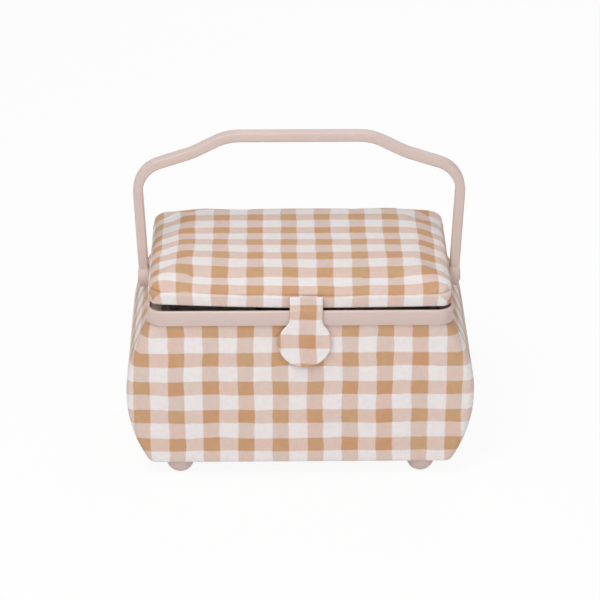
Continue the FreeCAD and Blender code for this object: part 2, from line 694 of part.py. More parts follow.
def lid_cover():
    """Cloth over the pad and the band, turned under the skirt."""
    whole = lid_band(0).fuse(lid_crown(0))
    whole = whole.cut(lid_band(LID_CLOTH)).cut(lid_crown(LID_CLOTH))
    opening = raised(closed(lid_outline(LID_FRAME_INSET + LID_HEM, LID_BOTTOM - LID_CLOTH)), LID_BAND)
    return whole.cut(opening).cut(lid_hinge_screws())


def lid_lining():
    """Cloth-covered card inside the lid."""
    return raised(closed(lid_outline(LID_HOLLOW_INSET + LID_CARD_PLAY, LID_CARD_Z)), LID_CARD)


def pincushion():
    """Crowned pad on the lid's lining, rounded towards the tray."""
    sections = []
    for height_share, inset_share in PINCUSHION_SHARES:
        inset = PINCUSHION_INSET * inset_share
        half_x = PINCUSHION_LENGTH / 2 - inset
        half_y = PINCUSHION_WIDTH / 2 - inset
        z = LID_CARD_Z - PINCUSHION_HEIGHT * height_share
        corner = min(PINCUSHION_CORNER, half_y * PINCUSHION_CORNER / PINCUSHION_WIDTH * 2)
        sections.append(soft_rectangle(half_x, half_y, corner, z, LID_MIDDLE_Y))
    return stacked(sections[::-1])


def tab_layer(front):
    """One cloth layer of the tab: a strap flaring into a disc."""
    half = TAB_WIDTH / 2
    top = TAB_FOLD_Z - TAB_FOLD_GAP
    low = point(TAB_OFFSET - half, front, TAB_DISC_Z)
    strap = block(low, point(TAB_OFFSET + half, front + TAB_LAYER, top))
    disc = Part.makeCylinder(TAB_DISC_RADIUS, TAB_LAYER, point(TAB_OFFSET, front, TAB_DISC_Z), Y_AXIS)
    whole = strap.fuse(disc).removeSplitter()
    meeting = TAB_DISC_Z + math.sqrt(TAB_DISC_RADIUS ** 2 - half ** 2)
    inner = [edge for edge in whole.Edges if is_upright_at(edge, meeting)]
    return whole.makeFillet(TAB_FLARE, inner)


def is_upright_at(edge, z):
    """Whether an edge runs front to back at height z."""
    box = edge.BoundBox
    near = abs(box.ZMin - z) < TAB_FOLD_GAP and abs(box.ZMax - z) < TAB_FOLD_GAP
    return near and box.XLength < TAB_FOLD_GAP


def magnet_room(play):
    """The magnet's place in the inner layer, against the outer one."""
    start = point(TAB_OFFSET, TAB_MIDDLE, TAB_DISC_Z)
    return Part.makeCylinder(MAGNET_RADIUS + play, MAGNET_THICK + play, start, Y_AXIS)


def tab_face():
    """Outer layer of the tab."""
    return tab_layer(TAB_FRONT)


def tab_backing():
    """Inner layer of the tab, with a pocket for the magnet."""
    return tab_layer(TAB_MIDDLE).cut(magnet_room(MAGNET_PLAY))


def tab_magnet():
    """Disc magnet sewn between the layers."""
    return magnet_room(0)


def tab_anchor():
    """Upper end of the tab, sewn to the front of the lid."""
    back = LID_FRONT - ANCHOR_SEAT
    low = point(TAB_OFFSET - TAB_WIDTH / 2, back - ANCHOR_THICK, TAB_FOLD_Z + TAB_FOLD_GAP)
    return block(low, point(TAB_OFFSET + TAB_WIDTH / 2, back, TAB_FOLD_Z + TAB_FOLD_GAP + ANCHOR_HEIGHT))


def tray_form(inset, bottom):
    """Tapered body of the tray drawn in by inset, up to its top."""
    sections = []
    for z, draft in ((bottom, TRAY_DRAFT), (TRAY_TOP, 0)):
        half_x = TRAY_HALF_X - inset - draft
        half_y = TRAY_HALF_Y - inset - draft
        sections.append(rounded_rectangle(half_x, half_y, TRAY_CORNER - inset, z))
    return Part.makeLoft(sections, True, True)


def tray_pockets():
    """Rounded compartments, three in front of the long divider and two behind it."""
    row = TRAY_HALF_Y * TRAY_ROW_SHARE
    half_wall = TRAY_WALL / 2
    rows = (
        (-TRAY_HALF_Y, row - half_wall, TRAY_FRONT_DIVIDER_SHARES),
        (row + half_wall, TRAY_HALF_Y, TRAY_BACK_DIVIDER_SHARES),
    )
    inner = tray_form(TRAY_WALL, TRAY_BOTTOM + TRAY_WALL)
    pockets = []
    for front, back, shares in rows:
        dividers = [TRAY_HALF_X * share for share in shares]
        lefts = [-TRAY_HALF_X] + [x + half_wall for x in dividers]
        rights = [x - half_wall for x in dividers] + [TRAY_HALF_X]
        for left, right in zip(lefts, rights):
            room = block(point(left, front, TRAY_BOTTOM), point(right, back, TRAY_TOP + OVERRUN))
            upright = [edge for edge in room.Edges if edge.BoundBox.ZLength > TRAY_DEPTH]
            pockets.append(room.makeFillet(TRAY_POCKET_CORNER, upright).common(inner))
    return pockets


def divider_room(play):
    """The long divider's place between the end walls, on the tray's floor."""
    row = TRAY_HALF_Y * TRAY_ROW_SHARE
    half_wall = TRAY_WALL / 2 + play
    slab = block(
        point(-TRAY_HALF_X, row - half_wall, TRAY_BOTTOM + TRAY_WALL),
        point(TRAY_HALF_X, row + half_wall, TRAY_TOP),
    )
    return slab.common(tray_form(TRAY_WALL + DIVIDER_PLAY - play, TRAY_BOTTOM + TRAY_WALL))


def finger_slot():
    """Slot through the long divider to lift the tray by."""
    middle = point(0, TRAY_HALF_Y * TRAY_ROW_SHARE, TRAY_TOP - FINGER_SLOT_DROP)
    half = point(FINGER_SLOT_LENGTH, 2 * TRAY_WALL, FINGER_SLOT_HEIGHT) / 2
    slot = block(middle - half, middle + half)
    through = [edge for edge in slot.Edges if edge.BoundBox.YLength > TRAY_WALL]
    return slot.makeFillet(FINGER_SLOT_HEIGHT / 3, through)


def tray():
    """Moulded lift-out tray hung from its flange on the rim's ledge."""
    opening = RIM_WEB + TRAY_PLAY
    flange = raised(rim_outline(opening, LEDGE_TOP), TRAY_FLANGE)
    body = tray_form(0, TRAY_BOTTOM).fuse(flange)
    return body.cut(tray_pockets()).cut(divider_room(DIVIDER_PLAY)).removeSplitter()


def tray_divider():
    """Long divider dropped into the tray's grooves, with the slot to lift the tray by."""
    return divider_room(0).cut(finger_slot())


NODES = {
    "base_cover": base_cover,
    "base_board": base_board,
    "front_cover": front_cover,
    "back_cover": back_cover,
    "right_end_cover": right_end_cover,
    "left_end_cover": lambda: mirrored(right_end_cover()),
    "front_board": front_board,
    "back_board": back_board,
    "right_end_board": right_end_board,
    "left_end_board": lambda: mirrored(right_end_board()),
    "case_lining": case_lining,
    "rim_frame": rim_frame,
    "feet": feet,
    "foot_screws": foot_screws,
    "catch_plate": catch_plate,
    "right_case_leaf": right_case_leaf,
    "left_case_leaf": lambda: mirrored(right_case_leaf()),
    "hinge_pins": hinge_pins,
    "case_hinge_screws": case_hinge_screws,
    "pivot_pins": pivot_pins,
    "pivot_washers": pivot_washers,
    "pivot_retainers": pivot_retainers,
    "handle": handle,
    "lid_frame": lid_frame,
    "lid_foam": lid_foam,
    "lid_cover": lid_cover,
    "lid_lining": lid_lining,
    "pincushion": pincushion,
    "right_lid_leaf": right_lid_leaf,
    "left_lid_leaf": lambda: mirrored(right_lid_leaf()),
    "lid_hinge_screws": lid_hinge_screws,
    "tab_anchor": tab_anchor,
    "tab_face": tab_face,
    "tab_backing": tab_backing,
    "tab_magnet": tab_magnet,
    "tray": tray,
    "tray_divider": tray_divider,
}

os.makedirs("parts", exist_ok=True)
for name, make in NODES.items():
    make().exportStep(f"parts/{name}.step")
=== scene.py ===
"""Sewing box in gingham cotton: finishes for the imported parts, and the cloth and pads that go over them."""
import json
import logging
import math
from dataclasses import dataclass
from enum import Enum
from typing import Any, Callable, Optional, Sequence

import bmesh
import bpy
import numpy as np
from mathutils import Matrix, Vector


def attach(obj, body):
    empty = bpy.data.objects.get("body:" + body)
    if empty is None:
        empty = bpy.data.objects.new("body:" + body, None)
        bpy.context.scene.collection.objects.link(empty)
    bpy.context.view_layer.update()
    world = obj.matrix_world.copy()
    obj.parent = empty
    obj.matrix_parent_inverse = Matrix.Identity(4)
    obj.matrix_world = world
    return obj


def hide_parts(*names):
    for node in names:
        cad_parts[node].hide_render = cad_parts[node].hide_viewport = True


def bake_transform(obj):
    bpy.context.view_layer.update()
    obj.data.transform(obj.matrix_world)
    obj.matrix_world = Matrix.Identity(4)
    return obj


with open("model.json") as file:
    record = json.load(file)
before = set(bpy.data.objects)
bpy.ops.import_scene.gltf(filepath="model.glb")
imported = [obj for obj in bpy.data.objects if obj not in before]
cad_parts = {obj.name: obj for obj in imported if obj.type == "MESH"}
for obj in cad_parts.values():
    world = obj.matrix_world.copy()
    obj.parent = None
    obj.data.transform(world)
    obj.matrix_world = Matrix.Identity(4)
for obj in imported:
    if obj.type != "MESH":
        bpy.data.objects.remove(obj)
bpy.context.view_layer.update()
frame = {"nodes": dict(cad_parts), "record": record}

LOG = logging.getLogger("sewing_box")
MM = 0.001
TINY = 1e-6
CLOTH_PLACE = "cloth_place"  # where a point lies on the flat cloth, in millimetres from a crossing
MIX_SHARE, MIX_A, MIX_B, MIX_OUT = 0, 6, 7, 2  # sockets of a Mix node that blends colours
WAVE_RADIANS = 20  # a wave texture runs this far to the unit

Tree, Node, Socket = bpy.types.NodeTree, bpy.types.Node, bpy.types.NodeSocket
Mesh, Material, Piece = bpy.types.Mesh, bpy.types.Material, bpy.types.Object
Pairs = Sequence[tuple[float, float]]


class Slot(Enum):
    """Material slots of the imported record."""

    GINGHAM = "gingham_cotton"
    LINING = "lining_cotton"
    BOARD = "greyboard"
    PLASTIC = "moulded_plastic"
    TRAY = "tray_plastic"
    FOAM = "pad_foam"
    STEEL = "steel"


class Body(Enum):
    """Bodies that a piece can ride on."""

    CASE = "case"
    LID = "lid"
    TAB = "tab"


class PrintRun(Enum):
    """Third coordinate of a piece's print, which gives each piece a print of its own."""

    FRONT = 0.0
    BACK = 60.0
    RIGHT_END = 120.0
    LEFT_END = 180.0
    BASE = 300.0
    CASE_LINING = 360.0
    LID = 420.0
    LID_LINING = 480.0
    PINCUSHION = 540.0
    TAB = 600.0


def linear(code: str) -> tuple[float, float, float, float]:
    """Turns an sRGB hex colour to linear light.

    Args:
        code: colour as #RRGGBB.

    Returns:
        Linear red, green and blue, and an alpha of 1.
    """
    shares = [int(code[start:start + 2], 16) / 255 for start in (1, 3, 5)]
    red, green, blue = [v / 12.92 if v <= 0.04045 else ((v + 0.055) / 1.055) ** 2.4 for v in shares]
    return red, green, blue, 1.0


def add_node(tree: Tree, kind: str, values: Optional[dict[Any, Any]] = None,
             links: Optional[dict[Any, Socket]] = None, **settings: Any) -> Node:
    """Adds one node with its settings and links.

    Args:
        tree: node tree that gets the node.
        kind: Blender's name for the type of node.
        values: fixed values by input name or number.
        links: feeding sockets by input name or number.
        settings: properties of the node itself.

    Returns:
        The new node.
    """
    node = tree.nodes.new(kind)
    for key, value in settings.items():
        setattr(node, key, value)
    for key, value in (values or {}).items():
        node.inputs[key].default_value = value
    for key, socket in (links or {}).items():
        tree.links.new(socket, node.inputs[key])
    return node


def new_material(name: str) -> tuple[Material, Tree, Node]:
    """Makes an empty material.

    Args:
        name: name of the material.

    Returns:
        The material, its node tree and its main shader.
    """
    material = bpy.data.materials.new(name)
    material.use_nodes = True
    tree = material.node_tree
    return material, tree, tree.nodes["Principled BSDF"]


def feed(tree: Tree, shader: Node, links: dict[str, Socket], values: dict[str, float]) -> None:
    """Joins a shader to what feeds it and sets its even values.

    Args:
        tree: node tree of the material.
        shader: its main shader.
        links: feeding sockets by input name.
        values: fixed values by input name.
    """
    for key, socket in links.items():
        tree.links.new(socket, shader.inputs[key])
    for key, value in values.items():
        shader.inputs[key].default_value = value


def mottle(tree: Tree, place: Socket, size_mm: float, tones: tuple[str, str], detail: float,
           harshness: float = 0.5) -> tuple[Socket, Socket]:
    """Mixes two tones by specks of a real size.

    Args:
        tree: node tree of the material.
        place: socket with the place on the part, in metres.
        size_mm: size of the largest specks.
        tones: the two tones as #RRGGBB.
        detail: number of finer layers.
        harshness: strength of the finer layers.

    Returns:
        The specks from 0 to 1, and the colour.
    """
    values = {"Scale": 1 / (size_mm * MM), "Detail": detail, "Roughness": harshness}
    specks = add_node(tree, "ShaderNodeTexNoise", values, {"Vector": place}).outputs["Fac"]
    colour = add_node(tree, "ShaderNodeMix", {MIX_A: linear(tones[0]), MIX_B: linear(tones[1])},
                      {MIX_SHARE: specks}, data_type="RGBA")
    return specks, colour.outputs[MIX_OUT]


def weave_bump(tree: Tree, place: Socket, thread_mm: float) -> Socket:
    """Gives a plain weave's threads and slight slackness as a bump.

    Args:
        tree: node tree of the material.
        place: socket with the place on the flat cloth in millimetres.
        thread_mm: spacing of the threads.

    Returns:
        The normal socket.
    """
    slack_mm, slack_depth, thread_depth = 20.0, 1.2 * MM, 0.25 * MM
    scale = math.tau / WAVE_RADIANS / thread_mm
    warp, weft = [add_node(tree, "ShaderNodeTexWave", {"Scale": scale}, {"Vector": place},
                           bands_direction=way).outputs["Fac"] for way in ("X", "Y")]
    threads = add_node(tree, "ShaderNodeMath", links={0: warp, 1: weft}, operation="MULTIPLY")
    slack = add_node(tree, "ShaderNodeTexNoise", {"Scale": 1 / slack_mm, "Detail": 2.0}, {"Vector": place})
    soft = add_node(tree, "ShaderNodeBump", {"Strength": 0.25, "Distance": slack_depth},
                    {"Height": slack.outputs["Fac"]})
    return add_node(tree, "ShaderNodeBump", {"Strength": 0.2, "Distance": thread_depth},
                    {"Height": threads.outputs[0], "Normal": soft.outputs["Normal"]}).outputs["Normal"]


@dataclass(frozen=True)
class GinghamCotton:
    """Plain-woven cotton, printed with a gingham check in thin pigment.

    The pigment lies unevenly, so squares differ in hue and the bands have soft, slightly wandering edges.
    """

    name: str = "woven_cotton_gingham_print"
    column_mm: float = 30.1
    row_mm: float = 27.4
    band_share: float = 0.47
    edge_mm: float = 0.55
    drift_mm: float = 1.3  # how far a band wanders
    wander_mm: float = 45.0  # and over what length
    wash_mm: float = 14.0  # size of the patches of thicker pigment
    uneven_mm: float = 5.0  # size of the small flecks
    square_share: float = 0.55  # how much a square differs from the next
    hue_range: tuple[float, float] = (0.42, 1.1)
    depth_range: tuple[float, float] = (0.95, 1.03)
    ground: str = "#EBE5E4"
    column_tones: tuple[str, str] = ("#DDC0B4", "#D9C6BB")  # warm and grey
    row_tones: tuple[str, str] = ("#DFC0B3", "#DCC8BD")
    crossing_tones: tuple[str, str] = ("#C9966F", "#C6A179")  # warm and olive
    roughness: float = 0.82
    sheen: float = 0.08
    thread_mm: float = 1.1  # drawn coarse: the real thread, 0.3 mm, is too fine to show

    def wandering(self, tree: Tree, place: Socket) -> Socket:
        """Moves places a little to and fro, so that bands wander.

        Args:
            tree: node tree of the material.
            place: socket with the place on the flat cloth in millimetres.

        Returns:
            The socket with the moved place.
        """
        values = {"Scale": 1 / self.wander_mm, "Detail": 3.0, "Roughness": 0.6}
        wander = add_node(tree, "ShaderNodeTexNoise", values, {"Vector": place})
        offset = add_node(tree, "ShaderNodeVectorMath", {1: (0.5, 0.5, 0.5)}, {0: wander.outputs["Color"]},
                          operation="SUBTRACT")
        reach = 4 * self.drift_mm
        return add_node(tree, "ShaderNodeVectorMath", {1: (reach, reach, 0.0)},
                        {0: offset.outputs[0], 2: place}, operation="MULTIPLY_ADD").outputs[0]

    def bands(self, tree: Tree, moved: Socket) -> list[Socket]:
        """Gives 1 in the printed columns, and 1 in the printed rows.

        Args:
            tree: node tree of the material.
            moved: socket with the wandering place.

        Returns:
            The sockets of the columns and the rows.
        """
        split = add_node(tree, "ShaderNodeSeparateXYZ", links={0: moved})
        bands = []
        for axis, pitch in (("X", self.column_mm), ("Y", self.row_mm)):
            away = add_node(tree, "ShaderNodeMath", {1: pitch / 2}, {0: split.outputs[axis]},
                            operation="PINGPONG")
            half = pitch * self.band_share / 2
            edges = {"From Min": half + self.edge_mm, "From Max": half - self.edge_mm}
            band = add_node(tree, "ShaderNodeMapRange", edges, {"Value": away.outputs[0]},
                            interpolation_type="SMOOTHSTEP")
            bands.append(band.outputs["Result"])
        return bands

    def hues(self, tree: Tree, place: Socket, moved: Socket) -> Socket:
        """Gives each square of the check its own hue, with patches of thicker pigment.

        Args:
            tree: node tree of the material.
            place: socket with the place on the flat cloth in millimetres.
            moved: socket with the wandering place.

        Returns:
            The socket with the hue, from 0 to 1.
        """
        steps = (self.column_mm / 2, self.row_mm / 2, 1.0)
        squares = add_node(tree, "ShaderNodeVectorMath", {1: steps}, {0: moved}, operation="DIVIDE")
        halves = add_node(tree, "ShaderNodeVectorMath", {1: (0.5, 0.5, 0.0)}, {0: squares.outputs[0]},
                          operation="ADD")
        cell = add_node(tree, "ShaderNodeVectorMath", links={0: halves.outputs[0]}, operation="FLOOR")
        chance = add_node(tree, "ShaderNodeTexWhiteNoise", links={"Vector": cell.outputs[0]},
                          noise_dimensions="3D")
        wash = add_node(tree, "ShaderNodeTexNoise", {"Scale": 1 / self.wash_mm, "Detail": 4.0},
                        {"Vector": place})
        hue = add_node(tree, "ShaderNodeMath", {1: self.square_share},
                       {0: chance.outputs["Value"], 2: wash.outputs["Fac"]}, operation="MULTIPLY_ADD")
        low, high = self.hue_range
        return add_node(tree, "ShaderNodeMapRange", {"From Min": low, "From Max": high},
                        {"Value": hue.outputs[0]}).outputs["Result"]

    def build(self) -> Material:
        """Makes the material.

        Returns:
            The gingham material, which reads the cloth place of each point.
        """
        material, tree, shader = new_material(self.name)
        place = add_node(tree, "ShaderNodeAttribute", attribute_name=CLOTH_PLACE).outputs["Vector"]
        moved = self.wandering(tree, place)
        in_column, in_row = self.bands(tree, moved)
        hue = self.hues(tree, place, moved)
        column_tone, row_tone, crossing = [
            add_node(tree, "ShaderNodeMix", {MIX_A: linear(first), MIX_B: linear(second)}, {MIX_SHARE: hue},
                     data_type="RGBA").outputs[MIX_OUT]
            for first, second in (self.column_tones, self.row_tones, self.crossing_tones)]
        column = add_node(tree, "ShaderNodeMix", {MIX_A: linear(self.ground)},
                          {MIX_SHARE: in_column, MIX_B: column_tone}, data_type="RGBA")
        row = add_node(tree, "ShaderNodeMix", links={MIX_SHARE: in_column, MIX_A: row_tone, MIX_B: crossing},
                       data_type="RGBA")
        layers = {MIX_SHARE: in_row, MIX_A: column.outputs[MIX_OUT], MIX_B: row.outputs[MIX_OUT]}
        check = add_node(tree, "ShaderNodeMix", links=layers, data_type="RGBA")
        uneven = add_node(tree, "ShaderNodeTexNoise",
                          {"Scale": 1 / self.uneven_mm, "Detail": 5.0, "Roughness": 0.65}, {"Vector": place})
        thin, thick = self.depth_range
        depth = add_node(tree, "ShaderNodeMapRange",
                         {"From Min": 0.3, "From Max": 0.7, "To Min": thin, "To Max": thick},
                         {"Value": uneven.outputs["Fac"]})
        colour = add_node(tree, "ShaderNodeMix", {MIX_SHARE: 1.0},
                          {MIX_A: check.outputs[MIX_OUT], MIX_B: depth.outputs["Result"]},
                          data_type="RGBA", blend_type="MULTIPLY")
        feed(tree, shader,
             {"Base Color": colour.outputs[MIX_OUT], "Normal": weave_bump(tree, place, self.thread_mm)},
             {"Roughness": self.roughness, "Sheen Weight": self.sheen})
        return material


@dataclass(frozen=True)
class LiningCotton:
    """Plain-woven, piece-dyed cotton: matt, with a faint slub along the threads."""

    name: str = "woven_cotton_plain_dyed"
    tone: str = "#EADCD2"
    tone_deep: str = "#E0CFC4"
    slub: tuple[float, float, float] = (0.04, 1.2, 1.0)  # to the millimetre, along and across the threads
    roughness: float = 0.85
    sheen: float = 0.08
    thread_mm: float = 0.9  # drawn coarse: the real thread, 0.3 mm, is too fine to show

    def build(self) -> Material:
        """Makes the material.

        Returns:
            The finished material.
        """
        material, tree, shader = new_material(self.name)
        place = add_node(tree, "ShaderNodeAttribute", attribute_name=CLOTH_PLACE).outputs["Vector"]
        drawn = add_node(tree, "ShaderNodeVectorMath", {1: self.slub}, {0: place}, operation="MULTIPLY")
        slub = add_node(tree, "ShaderNodeTexNoise", {"Scale": 1.0, "Detail": 4.0},
                        {"Vector": drawn.outputs[0]})
        colour = add_node(tree, "ShaderNodeMix", {MIX_A: linear(self.tone), MIX_B: linear(self.tone_deep)},
                          {MIX_SHARE: slub.outputs["Fac"]}, data_type="RGBA")
        feed(tree, shader,
             {"Base Color": colour.outputs[MIX_OUT], "Normal": weave_bump(tree, place, self.thread_mm)},
             {"Roughness": self.roughness, "Sheen Weight": self.sheen})
        return material


@dataclass(frozen=True)
class MouldedPlastic:
    """Injection-moulded polypropylene: an even satin skin with a fine spark-eroded grain."""

    name: str
    tones: tuple[str, str]
    roughness: float = 0.46
    roughness_spread: float = 0.07
    flow_mm: float = 35.0  # size of the faint flow marks
    grain_mm: float = 0.9  # drawn coarse: the real grain, 0.1 mm, is too fine to show
    ior: float = 1.49

    def build(self) -> Material:
        """Makes the material.

        Returns:
            The finished material.
        """
        material, tree, shader = new_material(self.name)
        place = add_node(tree, "ShaderNodeTexCoord").outputs["Object"]
        flow, colour = mottle(tree, place, self.flow_mm, self.tones, 3.0)
        grain = add_node(tree, "ShaderNodeTexNoise", {"Scale": 1 / (self.grain_mm * MM), "Detail": 2.0},
                         {"Vector": place})
        low, high = self.roughness - self.roughness_spread, self.roughness + self.roughness_spread
        gloss = add_node(tree, "ShaderNodeMapRange", {"To Min": low, "To Max": high}, {"Value": flow})
        bump = add_node(tree, "ShaderNodeBump", {"Strength": 0.06, "Distance": 0.1 * MM},
                        {"Height": grain.outputs["Fac"]})
        feed(tree, shader, {"Base Color": colour, "Roughness": gloss.outputs["Result"],
                            "Normal": bump.outputs["Normal"]}, {"IOR": self.ior})
        return material


@dataclass(frozen=True)
class PlatedSteel:
    """Pressed steel, nickel plated: bright, with fine drawing lines that spread its reflections."""

    name: str = "pressed_steel_nickel_plated"
    tones: tuple[str, str] = ("#CDC8C1", "#B9B4AD")
    line_mm: float = 0.5
    line_share: float = 0.06  # how much slower the lines change along their length
    roughness: tuple[float, float] = (0.2, 0.36)

    def build(self) -> Material:
        """Makes the material.

        Returns:
            The finished material.
        """
        material, tree, shader = new_material(self.name)
        place = add_node(tree, "ShaderNodeTexCoord").outputs["Object"]
        drawn = add_node(tree, "ShaderNodeVectorMath", {1: (self.line_share, 1.0, 1.0)}, {0: place},
                         operation="MULTIPLY")
        lines, colour = mottle(tree, drawn.outputs[0], self.line_mm, self.tones, 3.0)
        low, high = self.roughness
        gloss = add_node(tree, "ShaderNodeMapRange", {"To Min": low, "To Max": high}, {"Value": lines})
        feed(tree, shader, {"Base Color": colour, "Roughness": gloss.outputs["Result"]}, {"Metallic": 1.0})
        return material


@dataclass(frozen=True)
class CoatedSurface:
    """A skin with small specks in its colour and relief, and one roughness all over."""

    name: str
    tones: tuple[str, str]
    speck_mm: float
    detail: float
    harshness: float
    bump: tuple[float, float]  # strength, and depth in millimetres
    roughness: float

    def build(self) -> Material:
        """Makes the material.

        Returns:
            The finished material.
        """
        material, tree, shader = new_material(self.name)
        place = add_node(tree, "ShaderNodeTexCoord").outputs["Object"]
        specks, colour = mottle(tree, place, self.speck_mm, self.tones, self.detail, self.harshness)
        strength, depth = self.bump
        bump = add_node(tree, "ShaderNodeBump", {"Strength": strength, "Distance": depth * MM},
                        {"Height": specks})
        feed(tree, shader, {"Base Color": colour, "Normal": bump.outputs["Normal"]},
             {"Roughness": self.roughness})
        return material


@dataclass(frozen=True)
class StovedEnamel(CoatedSurface):
    """Stoved enamel on steel: a smooth semi-gloss coat with a slight orange peel."""

    name: str = "stoved_enamel_blush"
    tones: tuple[str, str] = ("#D3BEB6", "#CCB7AF")
    speck_mm: float = 1.2
    detail: float = 2.0
    harshness: float = 0.5
    bump: tuple[float, float] = (0.05, 0.1)
    roughness: float = 0.34


@dataclass(frozen=True)
class Greyboard(CoatedSurface):
    """Pressed recycled board: matt grey with flecks and short fibres."""

    name: str = "pressed_greyboard"
    tones: tuple[str, str] = ("#A59F97", "#857F78")
    speck_mm: float = 1.5
    detail: float = 5.0
    harshness: float = 0.7
    bump: tuple[float, float] = (0.2, 0.2)
    roughness: float = 0.92


@dataclass(frozen=True)
class StudioPaper:
    """Matt white paper sweep that keeps a faint shadow and is white to the lens."""

    name: str = "matt_white_paper"
    tone: str = "#FAFAFA"
    tone_deep: str = "#F6F6F6"
    flecks: float = 40.0  # flecks across the sweep
    lit_share: float = 0.92

    def build(self) -> Material:
        """Makes the material.

        Returns:
            The finished material.
        """
        material, tree, shader = new_material(self.name)
        fleck = add_node(tree, "ShaderNodeTexNoise", {"Scale": self.flecks, "Detail": 3.0})
        colour = add_node(tree, "ShaderNodeMix", {MIX_A: linear(self.tone), MIX_B: linear(self.tone_deep)},
                          {MIX_SHARE: fleck.outputs["Fac"]}, data_type="RGBA")
        feed(tree, shader, {"Base Color": colour.outputs[MIX_OUT]},
             {"Roughness": 1.0, "Specular IOR Level": 0.0})
        glow = add_node(tree, "ShaderNodeEmission", {"Strength": 1.0})
        share = add_node(tree, "ShaderNodeMath", {1: self.lit_share}, {0: seen_rays(tree)},
                         operation="MULTIPLY")
        mix = add_node(tree, "ShaderNodeMixShader",
                       links={0: share.outputs[0], 1: shader.outputs[0], 2: glow.outputs[0]})
        tree.links.new(mix.outputs[0], tree.nodes["Material Output"].inputs["Surface"])
        return material


def seen_rays(tree: Tree) -> Socket:
    """Gives 1 for rays of the camera, reflections and transmission.

    Args:
        tree: node tree of the floor or the world.

    Returns:
        The socket with 1 or 0.
    """
    rays = add_node(tree, "ShaderNodeLightPath").outputs
    first = add_node(tree, "ShaderNodeMath", links={0: rays["Is Camera Ray"], 1: rays["Is Glossy Ray"]},
                     operation="MAXIMUM")
    return add_node(tree, "ShaderNodeMath", links={0: first.outputs[0], 1: rays["Is Transmission Ray"]},
                    operation="MAXIMUM").outputs[0]


def smoothstep(low: float, high: float, value: np.ndarray) -> np.ndarray:
    """Eases from 0 at low to 1 at high."""
    share = np.clip((np.asarray(value, float) - low) / (high - low), 0.0, 1.0)
    return share * share * (3 - 2 * share)


def rounded_outline(half_x: float, half_y: float, corner: float, count: int, steps: int = 13) -> np.ndarray:
    """Spaces points evenly round a rectangle with rounded corners.

    Args:
        half_x: half of its width.
        half_y: half of its depth.
        corner: radius of its corners.
        count: number of points.
        steps: points that draw each corner.

    Returns:
        Points as a count by 2 array, starting at the middle of the front.
    """
    corner = min(corner, half_x, half_y)
    arcs = [np.array([[0.0, -half_y]])]
    for side_x, side_y, start in ((1, -1, 270), (1, 1, 0), (-1, 1, 90), (-1, -1, 180)):
        angle = np.radians(np.linspace(start, start + 90, steps))
        arcs.append(np.column_stack([side_x * (half_x - corner) + corner * np.cos(angle),
                                     side_y * (half_y - corner) + corner * np.sin(angle)]))
    arcs.append(np.array([[0.0, -half_y]]))
    path = np.vstack(arcs)
    run = np.concatenate([[0.0], np.cumsum(np.linalg.norm(np.diff(path, axis=0), axis=1))])
    at = np.linspace(0.0, run[-1], count, endpoint=False)
    return np.column_stack([np.interp(at, run, path[:, 0]), np.interp(at, run, path[:, 1])])


@dataclass
class Surface:
    """A grid of points and the place of each on the flat cloth, both in millimetres."""

    points: np.ndarray
    place: Optional[np.ndarray] = None
    closed: bool = False  # the last column joins the first

    def faces(self) -> list[tuple[int, ...]]:
        """Lists the quads of the grid.

        Returns:
            Four point numbers for each quad.
        """
        rows, columns = self.points.shape[:2]
        pairs = [(c, (c + 1) % columns) for c in range(columns if self.closed else columns - 1)]
        return [(r * columns + a, r * columns + b, (r + 1) * columns + b, (r + 1) * columns + a)
                for r in range(rows - 1) for a, b in pairs]


def mark_place(mesh: Mesh, place: np.ndarray, run: PrintRun) -> None:
    """Stores the place on the flat cloth of each point.

    Args:
        mesh: mesh that gets the attribute.
        place: places in millimetres, one row for each point.
        run: the piece's own print.
    """
    full = np.column_stack([place, np.full(len(place), run.value)]).astype(np.float32)
    mesh.attributes.new(CLOTH_PLACE, "FLOAT_VECTOR", "POINT").data.foreach_set("vector", full.ravel())


def make_piece(mesh: Mesh, material: Material, body: Optional[Body] = None,
               replaced: Sequence[str] = (), subdivided: bool = False) -> Piece:
    """Puts a mesh in the scene as a piece with its finish.

    Args:
        mesh: its mesh, which has the name of the piece.
        material: its material.
        body: body that it rides on, if it is only one.
        replaced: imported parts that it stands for.
        subdivided: whether it is subdivided once.

    Returns:
        The new object.
    """
    mesh.materials.append(material)
    mesh.polygons.foreach_set("use_smooth", [True] * len(mesh.polygons))
    piece = bpy.data.objects.new(mesh.name, mesh)
    bpy.context.scene.collection.objects.link(piece)
    if subdivided:
        piece.modifiers.new("even", "SUBSURF").render_levels = 1
    if body:
        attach(piece, body.value)
    if replaced:
        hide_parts(*replaced)
    LOG.info("built %s: %d points", mesh.name, len(mesh.vertices))
    return piece


def cloth_mesh(name: str, surface: Surface, run: Optional[PrintRun] = None, caps: Sequence[int] = ()) -> Mesh:
    """Makes a mesh of a cloth surface.

    Args:
        name: name of the mesh.
        surface: its points and places.
        run: the piece's own print, or none where it is printed later.
        caps: rows of a closed surface that are filled with one face.

    Returns:
        The mesh, facing outwards.
    """
    rows, columns = surface.points.shape[:2]
    faces = surface.faces()
    faces += [tuple(range((row % rows) * columns, (row % rows + 1) * columns)) for row in caps]
    mesh = bpy.data.meshes.new(name)
    mesh.from_pydata((surface.points.reshape(-1, 3) * MM).tolist(), [], faces)
    if run:
        mark_place(mesh, surface.place.reshape(-1, 2), run)
    face_outwards(mesh)
    return mesh


